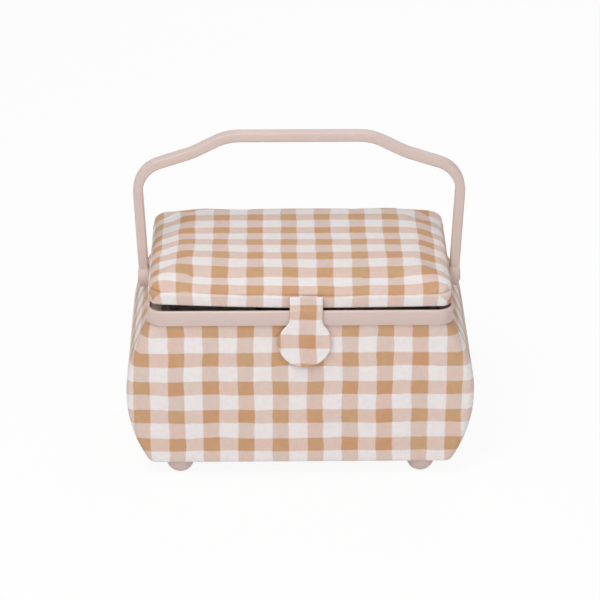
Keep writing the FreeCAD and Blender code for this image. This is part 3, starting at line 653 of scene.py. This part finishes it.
def face_outwards(mesh: Mesh, weld_mm: float = 0.0) -> None:
    """Turns all faces the same way out.

    Args:
        mesh: mesh that is changed.
        weld_mm: points nearer than this are joined first.
    """
    work = bmesh.new()
    work.from_mesh(mesh)
    if weld_mm:
        bmesh.ops.remove_doubles(work, verts=work.verts, dist=weld_mm * MM)
    bmesh.ops.recalc_face_normals(work, faces=work.faces)
    work.to_mesh(mesh)
    work.free()


def mesh_points(mesh: Mesh) -> np.ndarray:
    """Reads a mesh's points in millimetres.

    Args:
        mesh: mesh that is read.

    Returns:
        Points, one row for each.
    """
    flat = np.empty(len(mesh.vertices) * 3)
    mesh.vertices.foreach_get("co", flat)
    return flat.reshape(-1, 3) / MM


def set_points(mesh: Mesh, points: np.ndarray) -> None:
    """Writes a mesh's points, given in millimetres."""
    mesh.vertices.foreach_set("co", (points * MM).ravel())
    mesh.update()


@dataclass(frozen=True)
class Wadding:
    """The filling of a pad and the cloth that holds it."""

    cell_mm: float  # size of the cells that the form is divided into
    pressure: float = 4.0
    cap_mm: float = 2.0  # furthest that a point may move
    even_share: float = 0.5
    even_rounds: int = 2
    quality: int = 6
    mass: float = 0.25
    stiffness: float = 15.0
    bending: float = 0.6
    frames: int = 20

    def blow(self, name: str, rings: list[np.ndarray], is_held: Callable[[np.ndarray], np.ndarray]) -> Mesh:
        """Blows up a closed cloth form.

        Args:
            name: name of the mesh.
            rings: rings of points from the held side to the free side, in millimetres.
            is_held: tells for points in millimetres which are sewn down.

        Returns:
            The mesh of the filled form.
        """
        rough = cloth_mesh(name + "_rough", Surface(np.stack(rings), closed=True), caps=(0, -1))
        former = bpy.data.objects.new(name + "_former", rough)
        bpy.context.scene.collection.objects.link(former)
        remesh = former.modifiers.new("cells", "REMESH")
        remesh.mode = "VOXEL"
        remesh.voxel_size = self.cell_mm * MM
        even = former.modifiers.new("even", "SMOOTH")
        even.factor = self.even_share
        even.iterations = self.even_rounds
        mesh = bpy.data.meshes.new_from_object(former.evaluated_get(bpy.context.evaluated_depsgraph_get()))
        bpy.data.objects.remove(former)
        bpy.data.meshes.remove(rough)
        start = mesh_points(mesh)
        step = self.push(name, mesh, is_held(start)) - start
        length = np.linalg.norm(step, axis=1, keepdims=True)
        set_points(mesh, start + step * np.minimum(1.0, self.cap_mm / np.maximum(length, TINY)))
        mesh.name = name
        return mesh

    def push(self, name: str, mesh: Mesh, held: np.ndarray) -> np.ndarray:
        """Runs the cloth of a pad under pressure.

        Args:
            name: name of the pad.
            mesh: mesh of the slack pad.
            held: true for the points that are sewn down.

        Returns:
            Points of the filled pad in millimetres.
        """
        scene = bpy.context.scene
        pad = bpy.data.objects.new(name + "_filling", mesh.copy())
        scene.collection.objects.link(pad)
        pad.vertex_groups.new(name="held").add(np.flatnonzero(held).tolist(), 1.0, "REPLACE")
        cloth = pad.modifiers.new("cloth", "CLOTH")
        settings = cloth.settings
        settings.quality = self.quality
        settings.mass = self.mass
        settings.tension_stiffness = self.stiffness
        settings.compression_stiffness = self.stiffness
        settings.shear_stiffness = self.stiffness
        settings.bending_stiffness = self.bending
        settings.use_pressure = True
        settings.uniform_pressure_force = self.pressure
        settings.vertex_group_mass = "held"
        settings.effector_weights.gravity = 0.0
        cloth.collision_settings.use_collision = False
        cloth.point_cache.frame_start = 1
        cloth.point_cache.frame_end = self.frames
        for step in range(1, self.frames + 1):
            scene.frame_set(step)
        points = mesh_points(pad.evaluated_get(bpy.context.evaluated_depsgraph_get()).to_mesh())
        copied = pad.data
        bpy.data.objects.remove(pad)
        bpy.data.meshes.remove(copied)
        scene.frame_set(1)
        return points


@dataclass
class CaseCovers:
    """Cotton stretched over the case's boards, the cover of its underside and the lining inside."""

    gingham: Material
    lining: Material
    half_y: float = 89.0
    corner_top: float = 12.0  # the upright corners tighten from just under the top down to the bulge
    corner_low: float = 6.5
    corner_from: float = 5.0
    corner_least: float = 2.0
    arc_radius: float = 120.0
    arc_x: float = 31.0
    arc_z: float = 79.0
    bottom: float = 14.3
    top: float = 149.4
    column_at: float = 12.9  # middle of a printed column on the front
    row_at: float = 87.1  # middle of a printed row
    swell: float = 0.5  # wadding under the flat covers
    swell_power: int = 6  # keeps the swell even up to the corners
    roll_from: float = 4.5  # height at which the covers start to turn under
    roll: Pairs = ((2.2, 0.0), (1.0, 0.35), (0.3, 1.0), (0.0, 2.2), (0.0, 5.0))  # height and inset
    wall_rows: int = 34
    face_columns: int = 75
    corner_columns: int = 9
    end_columns: int = 41
    around: int = 160  # points round the base and the lining
    base_gap: float = 0.1
    base_insets: Sequence[float] = (3.0, 9.0)
    lining_inset: float = 4.8
    lining_bottom: float = 19.1
    lining_top: float = 144.0
    lining_rows: int = 26
    lining_turn: float = 3.0  # height at which the lining turns in to the floor
    lining_roll: Pairs = ((0.8, 0.6), (0.1, 2.4), (0.0, 6.5))
    lining_flat: tuple[float, float] = (0.75, 0.2)  # metres

    def end_x(self, z: np.ndarray, inset: np.ndarray) -> np.ndarray:
        """Half width of the case at a height, that far inside its covers."""
        return self.arc_x + np.sqrt((self.arc_radius - inset) ** 2 - (z - self.arc_z) ** 2)

    def corner(self, z: np.ndarray) -> np.ndarray:
        """Radius of the upright corners at a height."""
        tight = smoothstep(self.top - self.corner_from, self.arc_z, z)
        return self.corner_top - (self.corner_top - self.corner_low) * tight

    def levels(self) -> tuple[np.ndarray, np.ndarray]:
        """Heights of a cover's rows from top to bottom and how far each is turned under, as columns.

        Returns:
            The heights and the insets.
        """
        wall = np.linspace(self.top, self.bottom + self.roll_from, self.wall_rows)
        under = np.array(self.roll)
        heights = np.concatenate([wall, self.bottom + under[:, 0]])
        return heights[:, None], np.concatenate([np.zeros(self.wall_rows), under[:, 1]])[:, None]

    def face_surface(self, side: int) -> Surface:
        """Front or back cover, round both corners.

        Args:
            side: -1 for the front, 1 for the back.

        Returns:
            Its surface.
        """
        z, inset = self.levels()
        flat = np.linspace(-1.0, 1.0, self.face_columns)[None, :]
        turn = np.radians(np.linspace(0.0, 90.0, self.corner_columns))[None, 1:]
        corner = self.corner(z)
        centre = self.end_x(z, 0.0 * z) - corner
        radius = corner - inset
        rise = np.sin(np.pi * np.clip((z - self.bottom) / (self.top - self.bottom), 0.0, 1.0))
        swell = self.swell * rise * (1 - flat ** self.swell_power)
        right_x, right_y = centre + radius * np.sin(turn), self.half_y - corner + radius * np.cos(turn)
        x = np.hstack([-right_x[:, ::-1], centre * flat, right_x])
        y = np.hstack([right_y[:, ::-1], self.half_y - inset + swell, right_y])
        across = np.hstack([-(centre + corner * turn)[:, ::-1], centre * flat, centre + corner * turn])
        down = np.broadcast_to(z - inset, x.shape)
        points = np.stack([x, side * y, np.broadcast_to(z, x.shape)], axis=2)
        return Surface(points, np.stack([across - self.column_at, down - self.row_at], axis=2))

    def end_surface(self, side: int) -> Surface:
        """Right or left end cover.

        Args:
            side: 1 for the right, -1 for the left.

        Returns:
            Its surface.
        """
        z, inset = self.levels()
        y = (self.half_y - self.corner(z)) * np.linspace(-1.0, 1.0, self.end_columns)[None, :]
        x = side * (self.end_x(z, 0.0 * z) - inset + 0.0 * y)
        along = self.arc_z + self.arc_radius * np.arcsin((z - self.arc_z) / self.arc_radius) - inset
        points = np.stack([x, np.broadcast_to(y, x.shape), np.broadcast_to(z, x.shape)], axis=2)
        place = np.stack([np.broadcast_to(side * y - self.column_at, x.shape),
                          np.broadcast_to(along - self.row_at, x.shape)], axis=2)
        return Surface(points, place)

    def ring(self, z: float, inset: float) -> np.ndarray:
        """Points round the case at a height, that far inside its covers.

        Args:
            z: the height.
            inset: how far inside.

        Returns:
            Points, one row for each.
        """
        corner = max(float(self.corner(np.float64(z))) - inset, self.corner_least)
        half_x = float(self.end_x(np.float64(z), np.float64(inset)))
        plan = rounded_outline(half_x, self.half_y - inset, corner, self.around)
        return np.column_stack([plan, np.full(self.around, z)])

    def build(self) -> None:
        """Makes the covers and the lining."""
        sheets = (("front", self.face_surface(-1), PrintRun.FRONT),
                  ("back", self.face_surface(1), PrintRun.BACK),
                  ("right_end", self.end_surface(1), PrintRun.RIGHT_END),
                  ("left_end", self.end_surface(-1), PrintRun.LEFT_END))
        for wall, surface, run in sheets:
            mesh = cloth_mesh(f"{wall}_cloth", surface, run)
            piece = make_piece(mesh, self.gingham, Body.CASE, [f"{wall}_cover"])
        self.build_base()
        self.build_lining()

    def build_base(self) -> None:
        """Makes the cover of the underside."""
        rings = np.stack([self.ring(self.bottom + self.base_gap, inset) for inset in self.base_insets])
        surface = Surface(rings, rings[:, :, :2], closed=True)
        mesh = cloth_mesh("base_cloth", surface, PrintRun.BASE, caps=(-1,))
        piece = make_piece(mesh, self.gingham, Body.CASE, ["base_cover"])

    def build_lining(self) -> None:
        """Makes the cloth that lines the walls and the floor."""
        heights = np.linspace(self.lining_top, self.lining_bottom + self.lining_turn, self.lining_rows)
        rings = [self.ring(z, self.lining_inset) for z in heights]
        rings += [self.ring(self.lining_bottom + lift, self.lining_inset + inset)
                  for lift, inset in self.lining_roll]
        points = np.stack(rings)
        along = np.linspace(0.0, self.lining_flat[0] / MM, self.around)
        place = np.stack([np.broadcast_to(along, points.shape[:2]), points[:, :, 2]], axis=2)
        surface = Surface(points, place, closed=True)
        mesh = cloth_mesh("case_lining_cloth", surface, PrintRun.CASE_LINING, caps=(-1,))
        piece = make_piece(mesh, self.lining, Body.CASE, ["case_lining"])


@dataclass
class PaddedLid:
    """The lid's filled pad, the band of cloth under it, the lining and the pincushion inside."""

    gingham: Material
    lining: Material
    half_x: float = 131.7
    half_y: float = 85.25
    middle_y: float = -4.25
    corner: float = 11.0
    corner_least: float = 4.0
    crease: float = 173.4
    held_under: float = 0.6  # the pad is sewn down from this far below the crease
    column_at: float = -8.7
    lift_left: float = 4.6  # the front corners curl up from the rim
    lift_right: float = 1.2
    lift_from: float = 12.0  # place along the front that lies lowest
    lift_power: float = 1.6
    lift_depth: tuple[float, float] = (30.0, -60.0)  # where the curl starts and is full, back to front
    back_swell: tuple[float, float] = (2.6, 4.6)  # the pad is fuller towards the hinges: backwards and up
    back_from: tuple[float, float] = (0.0, 78.0)
    side_swell: float = 2.4  # and up towards its sides
    side_from: tuple[float, float] = (80.0, 124.0)
    swell_from: tuple[float, float] = (172.0, 180.0)  # heights between which the swell sets in
    corner_loss: float = 0.7  # share of the back's rise that its corners lack
    pleat_depth: float = 0.5
    pleat_reach: float = 5.0
    pleats: int = 11
    filling: Wadding = Wadding(3.5)
    pad_around: int = 120
    profile: Pairs = (  # inset and height, from the shoulder down to the hem
        (16.0, 186.0), (11.0, 184.6), (7.0, 183.0), (3.5, 181.0), (1.2, 178.6), (0.2, 175.5), (0.9, 173.4),
        (0.9, 171.0), (0.9, 162.6), (1.8, 161.8), (6.0, 161.8))
    crown: Pairs = (  # inset and height of the slack pad
        (9.0, 171.6), (2.2, 171.8), (1.0, 173.3), (0.9, 175.4), (1.9, 178.0), (4.2, 180.2), (7.7, 182.0),
        (11.6, 183.3), (16.5, 184.5), (25.3, 186.0), (40.0, 187.2), (60.0, 187.8))
    band: Pairs = (
        (7.5, 162.3), (5.2, 161.8), (3.0, 161.9), (2.2, 162.5), (1.9, 165.0), (1.5, 168.0), (1.1, 171.0),
        (1.0, 172.6), (2.2, 173.8), (6.0, 174.6))
    band_around: int = 260
    band_width: float = 0.028  # metres
    rows_along: Pairs = (  # place on the top and on the unevenly drawn cloth, front to back
        (-73.5, -5.9), (-67.2, 0.0), (-38.0, 27.4), (-8.9, 54.8), (15.4, 82.2), (41.0, 109.6), (63.9, 137.0),
        (66.0, 139.3))
    rows_down: Pairs = ((0.0, 0.0), (9.5, 15.05), (60.0, 65.55))  # and down over the front
    card: Pairs = (  # inset and height of the card inside
        (6.0, 162.2), (6.3, 163.5), (6.4, 166.6), (7.4, 167.6), (10.0, 167.5), (24.0, 166.9), (50.0, 166.7))
    card_around: int = 160
    card_lift: tuple[float, float] = (24.0, 6.0)  # insets between which the card takes up the curl
    pincushion_filling: Wadding = Wadding(4.0)
    pincushion_half: tuple[float, float] = (50.0, 31.0)
    pincushion_corner: float = 14.0
    pincushion_around: int = 96
    pincushion_seam: float = 166.6
    pincushion_crown: Pairs = (  # inset and height
        (3.0, 167.7), (0.6, 165.6), (0.8, 163.6), (3.0, 161.4), (7.5, 159.6), (16.0, 158.5))

    def ring(self, inset: float, z: float, count: int) -> np.ndarray:
        """Points round the lid, that far inside its edge."""
        corner = max(self.corner - inset, self.corner_least)
        return self.level(rounded_outline(self.half_x - inset, self.half_y - inset, corner, count), z)

    def level(self, plan: np.ndarray, z: float) -> np.ndarray:
        """Puts an outline at the lid's middle and at a height."""
        return np.column_stack([plan[:, 0], plan[:, 1] + self.middle_y, np.full(len(plan), z)])

    def lift(self, points: np.ndarray) -> np.ndarray:
        """How far each point curls up towards the front corners.

        Args:
            points: points of the lid, in millimetres.

        Returns:
            Upward moves.
        """
        away = points[:, 0] - self.lift_from
        left = np.clip(-away / (self.half_x + self.lift_from), 0.0, 1.0) ** self.lift_power
        right = np.clip(away / (self.half_x - self.lift_from), 0.0, 1.0) ** self.lift_power
        return (self.lift_left * left + self.lift_right * right) * smoothstep(*self.lift_depth, points[:, 1])

    def beyond(self, points: np.ndarray, inset: float) -> tuple[np.ndarray, np.ndarray]:
        """Splits the plan of points at a line inside the lid's edge.

        Args:
            points: points of the lid, in millimetres.
            inset: how far inside the edge the line runs.

        Returns:
            The nearest places within the line, and how far each point lies beyond them.
        """
        limit = np.array([self.half_x - inset, self.half_y - inset])
        plan = points[:, :2] - (0.0, self.middle_y)
        edge = np.clip(plan, -limit, limit)
        return edge, plan - edge

    def flat_place(self, points: np.ndarray) -> np.ndarray:
        """Finds where points of the lid lie on its flat cloth.

        Args:
            points: points before they are lifted, in millimetres.

        Returns:
            Places, measured along the cloth from the shoulder outwards.
        """
        shoulder = self.profile[0][0]
        edge, out = self.beyond(points, shoulder)
        reach = np.linalg.norm(out, axis=1)
        path = np.array([(shoulder - inset, z) for inset, z in self.profile])
        best, run = np.full(len(points), np.inf), np.zeros(len(points))
        spot, total = np.column_stack([reach, points[:, 2]]), 0.0
        for first, second in zip(path[:-1], path[1:]):
            leg = second - first
            length = float(np.linalg.norm(leg))
            share = np.clip((spot - first) @ leg / length ** 2, 0.0, 1.0)
            gap = np.linalg.norm(spot - first - share[:, None] * leg, axis=1)
            nearer = gap < best
            best[nearer], run[nearer] = gap[nearer], (total + share * length)[nearer]
            total += length
        run[reach < TINY] = 0.0
        way = out / np.maximum(reach, TINY)[:, None]
        down = np.where(way[:, 1] < 0, np.interp(run, *zip(*self.rows_down)), run)
        along = np.interp(edge[:, 1] + self.middle_y, *zip(*self.rows_along))
        return np.column_stack([edge[:, 0] + way[:, 0] * run - self.column_at, along + way[:, 1] * down])

    def gathers(self, points: np.ndarray) -> np.ndarray:
        """Small pleats where the cloth is drawn round the corners, as outward moves.

        Args:
            points: points of the lid, in millimetres.

        Returns:
            Moves, one row for each point.
        """
        out = self.beyond(points, self.corner)[1]
        angle = np.arctan2(np.abs(out[:, 1]), np.abs(out[:, 0]))
        in_corner = np.sin(2 * angle) ** 2 * (np.abs(out).min(axis=1) > TINY)
        near_crease = np.exp(-((points[:, 2] - self.crease) / self.pleat_reach) ** 2)
        size = self.pleat_depth * in_corner * near_crease * np.cos(self.pleats * angle)
        way = out / np.maximum(np.linalg.norm(out, axis=1), TINY)[:, None]
        return np.column_stack([way * size[:, None], np.zeros(len(points))])

    def settle(self, mesh: Mesh) -> None:
        """Prints a mesh of the lid, pleats its corners, swells its back and sides and lifts its front.

        Args:
            mesh: mesh that is changed.
        """
        points = mesh_points(mesh)
        mark_place(mesh, self.flat_place(points), PrintRun.LID)
        points += self.gathers(points)
        above = smoothstep(*self.swell_from, points[:, 2])
        back = smoothstep(*self.back_from, points[:, 1])
        side = smoothstep(*self.side_from, np.abs(points[:, 0]))
        backwards, upwards = self.back_swell
        points[:, 1] += backwards * back * above
        rise = upwards * back * (1 - self.corner_loss * side) + self.side_swell * side * (1 - back)
        points[:, 2] += rise * above
        points[:, 2] += self.lift(points)
        set_points(mesh, points)

    def build(self) -> None:
        """Makes the pad, the band, the lining and the pincushion."""
        rings = [self.ring(inset, z, self.pad_around) for inset, z in self.crown]
        mesh = self.filling.blow("lid_pad", rings, lambda p: p[:, 2] < self.crease - self.held_under)
        self.settle(mesh)
        pad = make_piece(mesh, self.gingham, Body.LID, ["lid_cover", "lid_foam", "lid_frame"],
                         subdivided=True)
        self.build_band()
        self.build_lining()
        self.build_pincushion()

    def build_band(self) -> None:
        """Makes the band of cloth round the lid's frame, turned under at the bottom."""
        points = np.stack([self.ring(inset, z, self.band_around) for inset, z in self.band])
        mesh = cloth_mesh("lid_band_cloth", Surface(points, closed=True))
        self.settle(mesh)
        band = make_piece(mesh, self.gingham, Body.LID, subdivided=True)

    def build_lining(self) -> None:
        """Makes the cloth-covered card inside the lid."""
        points = np.stack([self.ring(inset, z, self.card_around) for inset, z in self.card])
        flat = points.reshape(-1, 3)
        insets = np.repeat([inset for inset, _ in self.card], self.card_around)
        flat[:, 2] += self.lift(flat) * smoothstep(*self.card_lift, insets)
        surface = Surface(points, points[:, :, :2], closed=True)
        mesh = cloth_mesh("lid_lining_cloth", surface, PrintRun.LID_LINING, caps=(-1,))
        piece = make_piece(mesh, self.lining, Body.LID, ["lid_lining"])

    def build_pincushion(self) -> None:
        """Makes the filled pincushion on the lining."""
        rings = []
        for inset, z in self.pincushion_crown:
            half_x, half_y = [half - inset for half in self.pincushion_half]
            corner = max(self.pincushion_corner - inset, self.corner_least)
            rings.append(self.level(rounded_outline(half_x, half_y, corner, self.pincushion_around), z))
        mesh = self.pincushion_filling.blow("pincushion_pad", rings, lambda p: p[:, 2] > self.pincushion_seam)
        mark_place(mesh, mesh_points(mesh)[:, :2], PrintRun.PINCUSHION)
        piece = make_piece(mesh, self.gingham, Body.LID, ["pincushion"], subdivided=True)


@dataclass
class ClosingTab:
    """The round-ended tab: two layers of cotton with a rolled edge, sewn to the lid and folded down."""

    gingham: Material
    middle_x: float = 5.0
    half_width: float = 14.2
    disc_radius: float = 22.9
    askew: float = -1.6  # the disc hangs this far to the side of the strap
    askew_from: float = 4.0  # starting this far under the fold
    disc_z: float = 131.8
    disc_share: float = 0.8  # share of the radius above the disc's middle where the strap's rows end
    disc_edge: float = 10.0  # up to this far above its middle the disc sets the edge
    flare: float = 9.0
    top: float = 174.4
    fold: float = 164.4
    fold_y: float = -93.0
    fold_ease: tuple[float, float] = (-3.0, 2.6)  # from the hanging part to the sewn end
    blend_reach: float = 2.0
    thick: float = 2.4
    anchor_y: float = -90.9
    hanging_y: float = -92.8
    roll: tuple[float, float, float] = (0.3, 1.5, 0.8)  # rolled edge: height, distance from the edge, width
    press: tuple[float, float] = (0.7, 0.8)  # pressed line of the fold: depth and width
    column_at: float = 6.2
    row_at: float = 133.8
    columns: int = 33
    strap_rows: int = 34
    strap_ease: float = 0.15  # the strap's rows draw closer towards its top
    disc_rows: int = 44
    weld_mm: float = 0.02

    def half_at(self, z: np.ndarray) -> np.ndarray:
        """Half width of the tab at each height, with the hollow curve into the disc.

        Args:
            z: heights.

        Returns:
            Half widths.
        """
        reach = self.half_width + self.flare
        curve_z = self.disc_z + math.sqrt((self.disc_radius + self.flare) ** 2 - reach ** 2)
        join_z = self.disc_z + (curve_z - self.disc_z) * self.disc_radius / (self.disc_radius + self.flare)
        disc = np.sqrt(np.maximum(self.disc_radius ** 2 - (z - self.disc_z) ** 2, 0.0))
        hollow = reach - np.sqrt(np.maximum(self.flare ** 2 - (z - curve_z) ** 2, 0.0))
        return np.where(z <= join_z, disc, np.where(z < curve_z, hollow, self.half_width))

    def edge_gap(self, x: np.ndarray, z: np.ndarray) -> np.ndarray:
        """Distance of each point from the tab's edge.

        Args:
            x: places across the tab.
            z: heights.

        Returns:
            Distances, 0 at the edge.
        """
        side = self.half_at(z) - np.abs(x)
        disc = np.maximum(self.disc_radius - np.hypot(x, z - self.disc_z), 0.0)
        nearest = np.where(z < self.disc_z + self.disc_edge, disc, side)
        return np.maximum(np.minimum(nearest, self.top - z), 0.0)

    def grid(self) -> tuple[np.ndarray, np.ndarray]:
        """Places of the tab's points across it and up it, before it hangs.

        Returns:
            Places across, and heights.
        """
        strap = np.linspace(0.0, 1.0, self.strap_rows)
        start = self.disc_z + self.disc_share * self.disc_radius
        upper = self.top - (self.top - start) * ((1 - self.strap_ease) * strap + self.strap_ease * strap ** 2)
        angle = np.linspace(math.acos(self.disc_share), math.pi, self.disc_rows)
        z = np.concatenate([upper, (self.disc_z + self.disc_radius * np.cos(angle))[1:]])[:, None]
        x = self.half_at(z) * np.sin(np.linspace(-math.pi / 2, math.pi / 2, self.columns))[None, :]
        return x, np.broadcast_to(z, x.shape)

    def layers(self) -> list[Surface]:
        """Front and back layers of the hanging tab.

        Returns:
            The two surfaces.
        """
        x, z = self.grid()
        gap = self.edge_gap(x, z)
        half = self.thick / 2
        shell = half * np.sqrt(1 - (1 - np.minimum(gap, half) / half) ** 2)
        height, inset, width = self.roll
        roll = height * np.exp(-((gap - inset) / width) ** 2)
        low, high = self.fold_ease
        sewn = smoothstep(self.fold + low, self.fold + high, z)
        middle = self.hanging_y + (self.anchor_y - self.hanging_y) * sewn
        depth, width = self.press
        press = depth * np.exp(-((z - self.fold) / width) ** 2) * (gap > 0)
        hung_x = x + self.middle_x + self.askew * smoothstep(self.fold - self.askew_from, self.disc_z, z)
        place = np.stack([hung_x - self.column_at, z - self.row_at], axis=2)
        front_y = middle - shell - roll * (gap > 0) + press
        return [Surface(np.stack([hung_x, y, z], axis=2), place) for y in (front_y, middle + shell)]

    def build(self) -> None:
        """Makes the tab, from its sewn end across the fold down to the hanging disc."""
        front, back = self.layers()
        points = np.vstack([layer.points.reshape(-1, 3) for layer in (front, back)])
        count = len(points) // 2
        faces = front.faces() + [tuple(index + count for index in face) for face in back.faces()]
        mesh = bpy.data.meshes.new("closing_tab")
        mesh.from_pydata((points * MM).tolist(), [], faces)
        mark_place(mesh, np.vstack([front.place.reshape(-1, 2)] * 2), PrintRun.TAB)
        face_outwards(mesh, self.weld_mm)
        piece = make_piece(mesh, self.gingham,
                           replaced=["tab_anchor", "tab_face", "tab_backing"])
        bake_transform(piece)


@dataclass
class CarriedParts:
    """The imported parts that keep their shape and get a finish."""

    finishes: dict[Slot, Material]
    enamel: Material
    enamel_nodes: Sequence[str] = ("pivot_pins", "pivot_washers")
    weld_mm: float = 0.01
    edge_mm: float = 0.35
    edge_steps: int = 2
    edge_over: float = math.radians(40)
    smooth_under: float = math.radians(32)

    def smoothing(self) -> Tree:
        """Makes the modifier that shades gentle edges smooth.

        Returns:
            The geometry node tree.
        """
        tree = bpy.data.node_groups.new("smooth_gentle_edges", "GeometryNodeTree")
        for way in ("INPUT", "OUTPUT"):
            tree.interface.new_socket("Geometry", in_out=way, socket_type="NodeSocketGeometry")
        start = add_node(tree, "NodeGroupInput")
        angle = add_node(tree, "GeometryNodeInputMeshEdgeAngle")
        gentle = add_node(tree, "FunctionNodeCompare", {1: self.smooth_under},
                          {0: angle.outputs["Unsigned Angle"]}, data_type="FLOAT", operation="LESS_THAN")
        faces = add_node(tree, "GeometryNodeSetShadeSmooth", links={"Geometry": start.outputs[0]},
                         domain="FACE")
        edges = add_node(tree, "GeometryNodeSetShadeSmooth",
                         links={"Geometry": faces.outputs[0], "Shade Smooth": gentle.outputs[0]},
                         domain="EDGE")
        add_node(tree, "NodeGroupOutput", links={0: edges.outputs[0]})
        return tree

    def dress(self) -> None:
        """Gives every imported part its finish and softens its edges."""
        shading = self.smoothing()
        slots = {part["node"]: Slot(part["material_slot"]) for part in frame["record"]["subparts"]}
        for name, node in frame["nodes"].items():
            finish = self.enamel if name in self.enamel_nodes else self.finishes[slots[name]]
            node.data.materials.clear()
            node.data.materials.append(finish)
            self.soften(node)
            node.modifiers.new("shading", "NODES").node_group = shading
            LOG.info("finished %s: %s", name, finish.name)

    def soften(self, node: Piece) -> None:
        """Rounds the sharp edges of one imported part.

        Args:
            node: object of the part.
        """
        node.modifiers.new("weld", "WELD").merge_threshold = self.weld_mm * MM
        bevel = node.modifiers.new("edges", "BEVEL")
        bevel.width = self.edge_mm * MM
        bevel.segments = self.edge_steps
        bevel.limit_method = "ANGLE"
        bevel.angle_limit = self.edge_over
        bevel.use_clamp_overlap = True


@dataclass(frozen=True)
class Softbox:
    """A square soft light and where it stands, in metres and degrees, with 0 at the front."""

    name: str
    watts: float
    side: float
    azimuth: float
    elevation: float
    distance: float


@dataclass
class Studio:
    """White paper sweep, soft lights and the camera of the photograph."""

    target: tuple[float, float, float] = (0.00073, 0.0, 0.1295)
    azimuth: float = -0.73
    elevation: float = 24.86
    distance: float = 2.602
    lens: float = 176.04
    sensor: float = 36.0
    clip_end: float = 30.0
    floor_half: float = 4.0
    fill: float = 0.40  # strength of the world's light
    lamps: Sequence[Softbox] = (Softbox("key_softbox", 12.5, 1.0, -28, 50, 1.7),
                                Softbox("front_softbox", 4.6, 1.2, 20, 18, 1.9),
                                Softbox("top_softbox", 3.0, 1.0, -10, 72, 1.6),
                                Softbox("back_softbox", 5.0, 1.2, 165, 38, 1.9))

    def aim(self, piece: Piece, azimuth: float, elevation: float, distance: float) -> None:
        """Stands a lamp or camera off the target and points it there.

        Args:
            piece: the lamp or camera.
            azimuth: angle round the object in degrees, 0 at the front.
            elevation: angle above the floor in degrees.
            distance: distance from the target in metres.
        """
        turn, rise = math.radians(azimuth), math.radians(elevation)
        level = math.cos(rise)
        way = Vector((math.sin(turn) * level, -math.cos(turn) * level, math.sin(rise)))
        piece.location = Vector(self.target) + way * distance
        piece.rotation_euler = (-way).to_track_quat("-Z", "Y").to_euler()
        bpy.context.scene.collection.objects.link(piece)

    def build(self, paper: Material) -> None:
        """Sets the floor, the lights, the world and the camera.

        Args:
            paper: material of the floor.
        """
        scene = bpy.context.scene
        scene.view_settings.view_transform = "Standard"
        half = self.floor_half
        mesh = bpy.data.meshes.new("paper_floor")
        corners = [(-half, -half, 0), (half, -half, 0), (half, half, 0), (-half, half, 0)]
        mesh.from_pydata(corners, [], [(0, 1, 2, 3)])
        mesh.materials.append(paper)
        floor = bpy.data.objects.new("paper_floor", mesh)
        scene.collection.objects.link(floor)
        for box in self.lamps:
            lamp = bpy.data.lights.new(box.name, "AREA")
            lamp.energy = box.watts
            lamp.size = box.side
            self.aim(bpy.data.objects.new(box.name, lamp), box.azimuth, box.elevation, box.distance)
        self.light_world()
        camera = bpy.data.objects.new("camera", bpy.data.cameras.new("camera"))
        camera.data.lens = self.lens
        camera.data.sensor_width = self.sensor
        camera.data.clip_end = self.clip_end
        self.aim(camera, self.azimuth, self.elevation, self.distance)
        scene.camera = camera

    def light_world(self) -> None:
        """Makes the world an even white that is full white only where it is seen."""
        world = bpy.data.worlds.new("studio_white")
        world.use_nodes = True
        tree = world.node_tree
        strength = add_node(tree, "ShaderNodeMapRange", {"To Min": self.fill, "To Max": 1.0},
                            {"Value": seen_rays(tree)})
        backdrop = tree.nodes["Background"]
        backdrop.inputs["Color"].default_value = (1.0, 1.0, 1.0, 1.0)
        tree.links.new(strength.outputs["Result"], backdrop.inputs["Strength"])
        bpy.context.scene.world = world


def main() -> None:
    """Builds the sub-assemblies in order."""
    logging.basicConfig(level=logging.INFO, format="%(message)s")
    gingham, lining = GinghamCotton().build(), LiningCotton().build()
    plastic = MouldedPlastic("moulded_polypropylene_blush", ("#D6C1B9", "#D0BBB3")).build()
    tray_plastic = MouldedPlastic("moulded_polypropylene_white", ("#EEE9E4", "#E6E0DA")).build()
    finishes = {Slot.GINGHAM: gingham, Slot.LINING: lining, Slot.FOAM: lining, Slot.PLASTIC: plastic,
                Slot.TRAY: tray_plastic, Slot.BOARD: Greyboard().build(), Slot.STEEL: PlatedSteel().build()}
    CarriedParts(finishes, StovedEnamel().build()).dress()
    CaseCovers(gingham, lining).build()
    PaddedLid(gingham, lining).build()
    ClosingTab(gingham).build()
    Studio().build(StudioPaper().build())


if __name__ == "__main__":
    main()
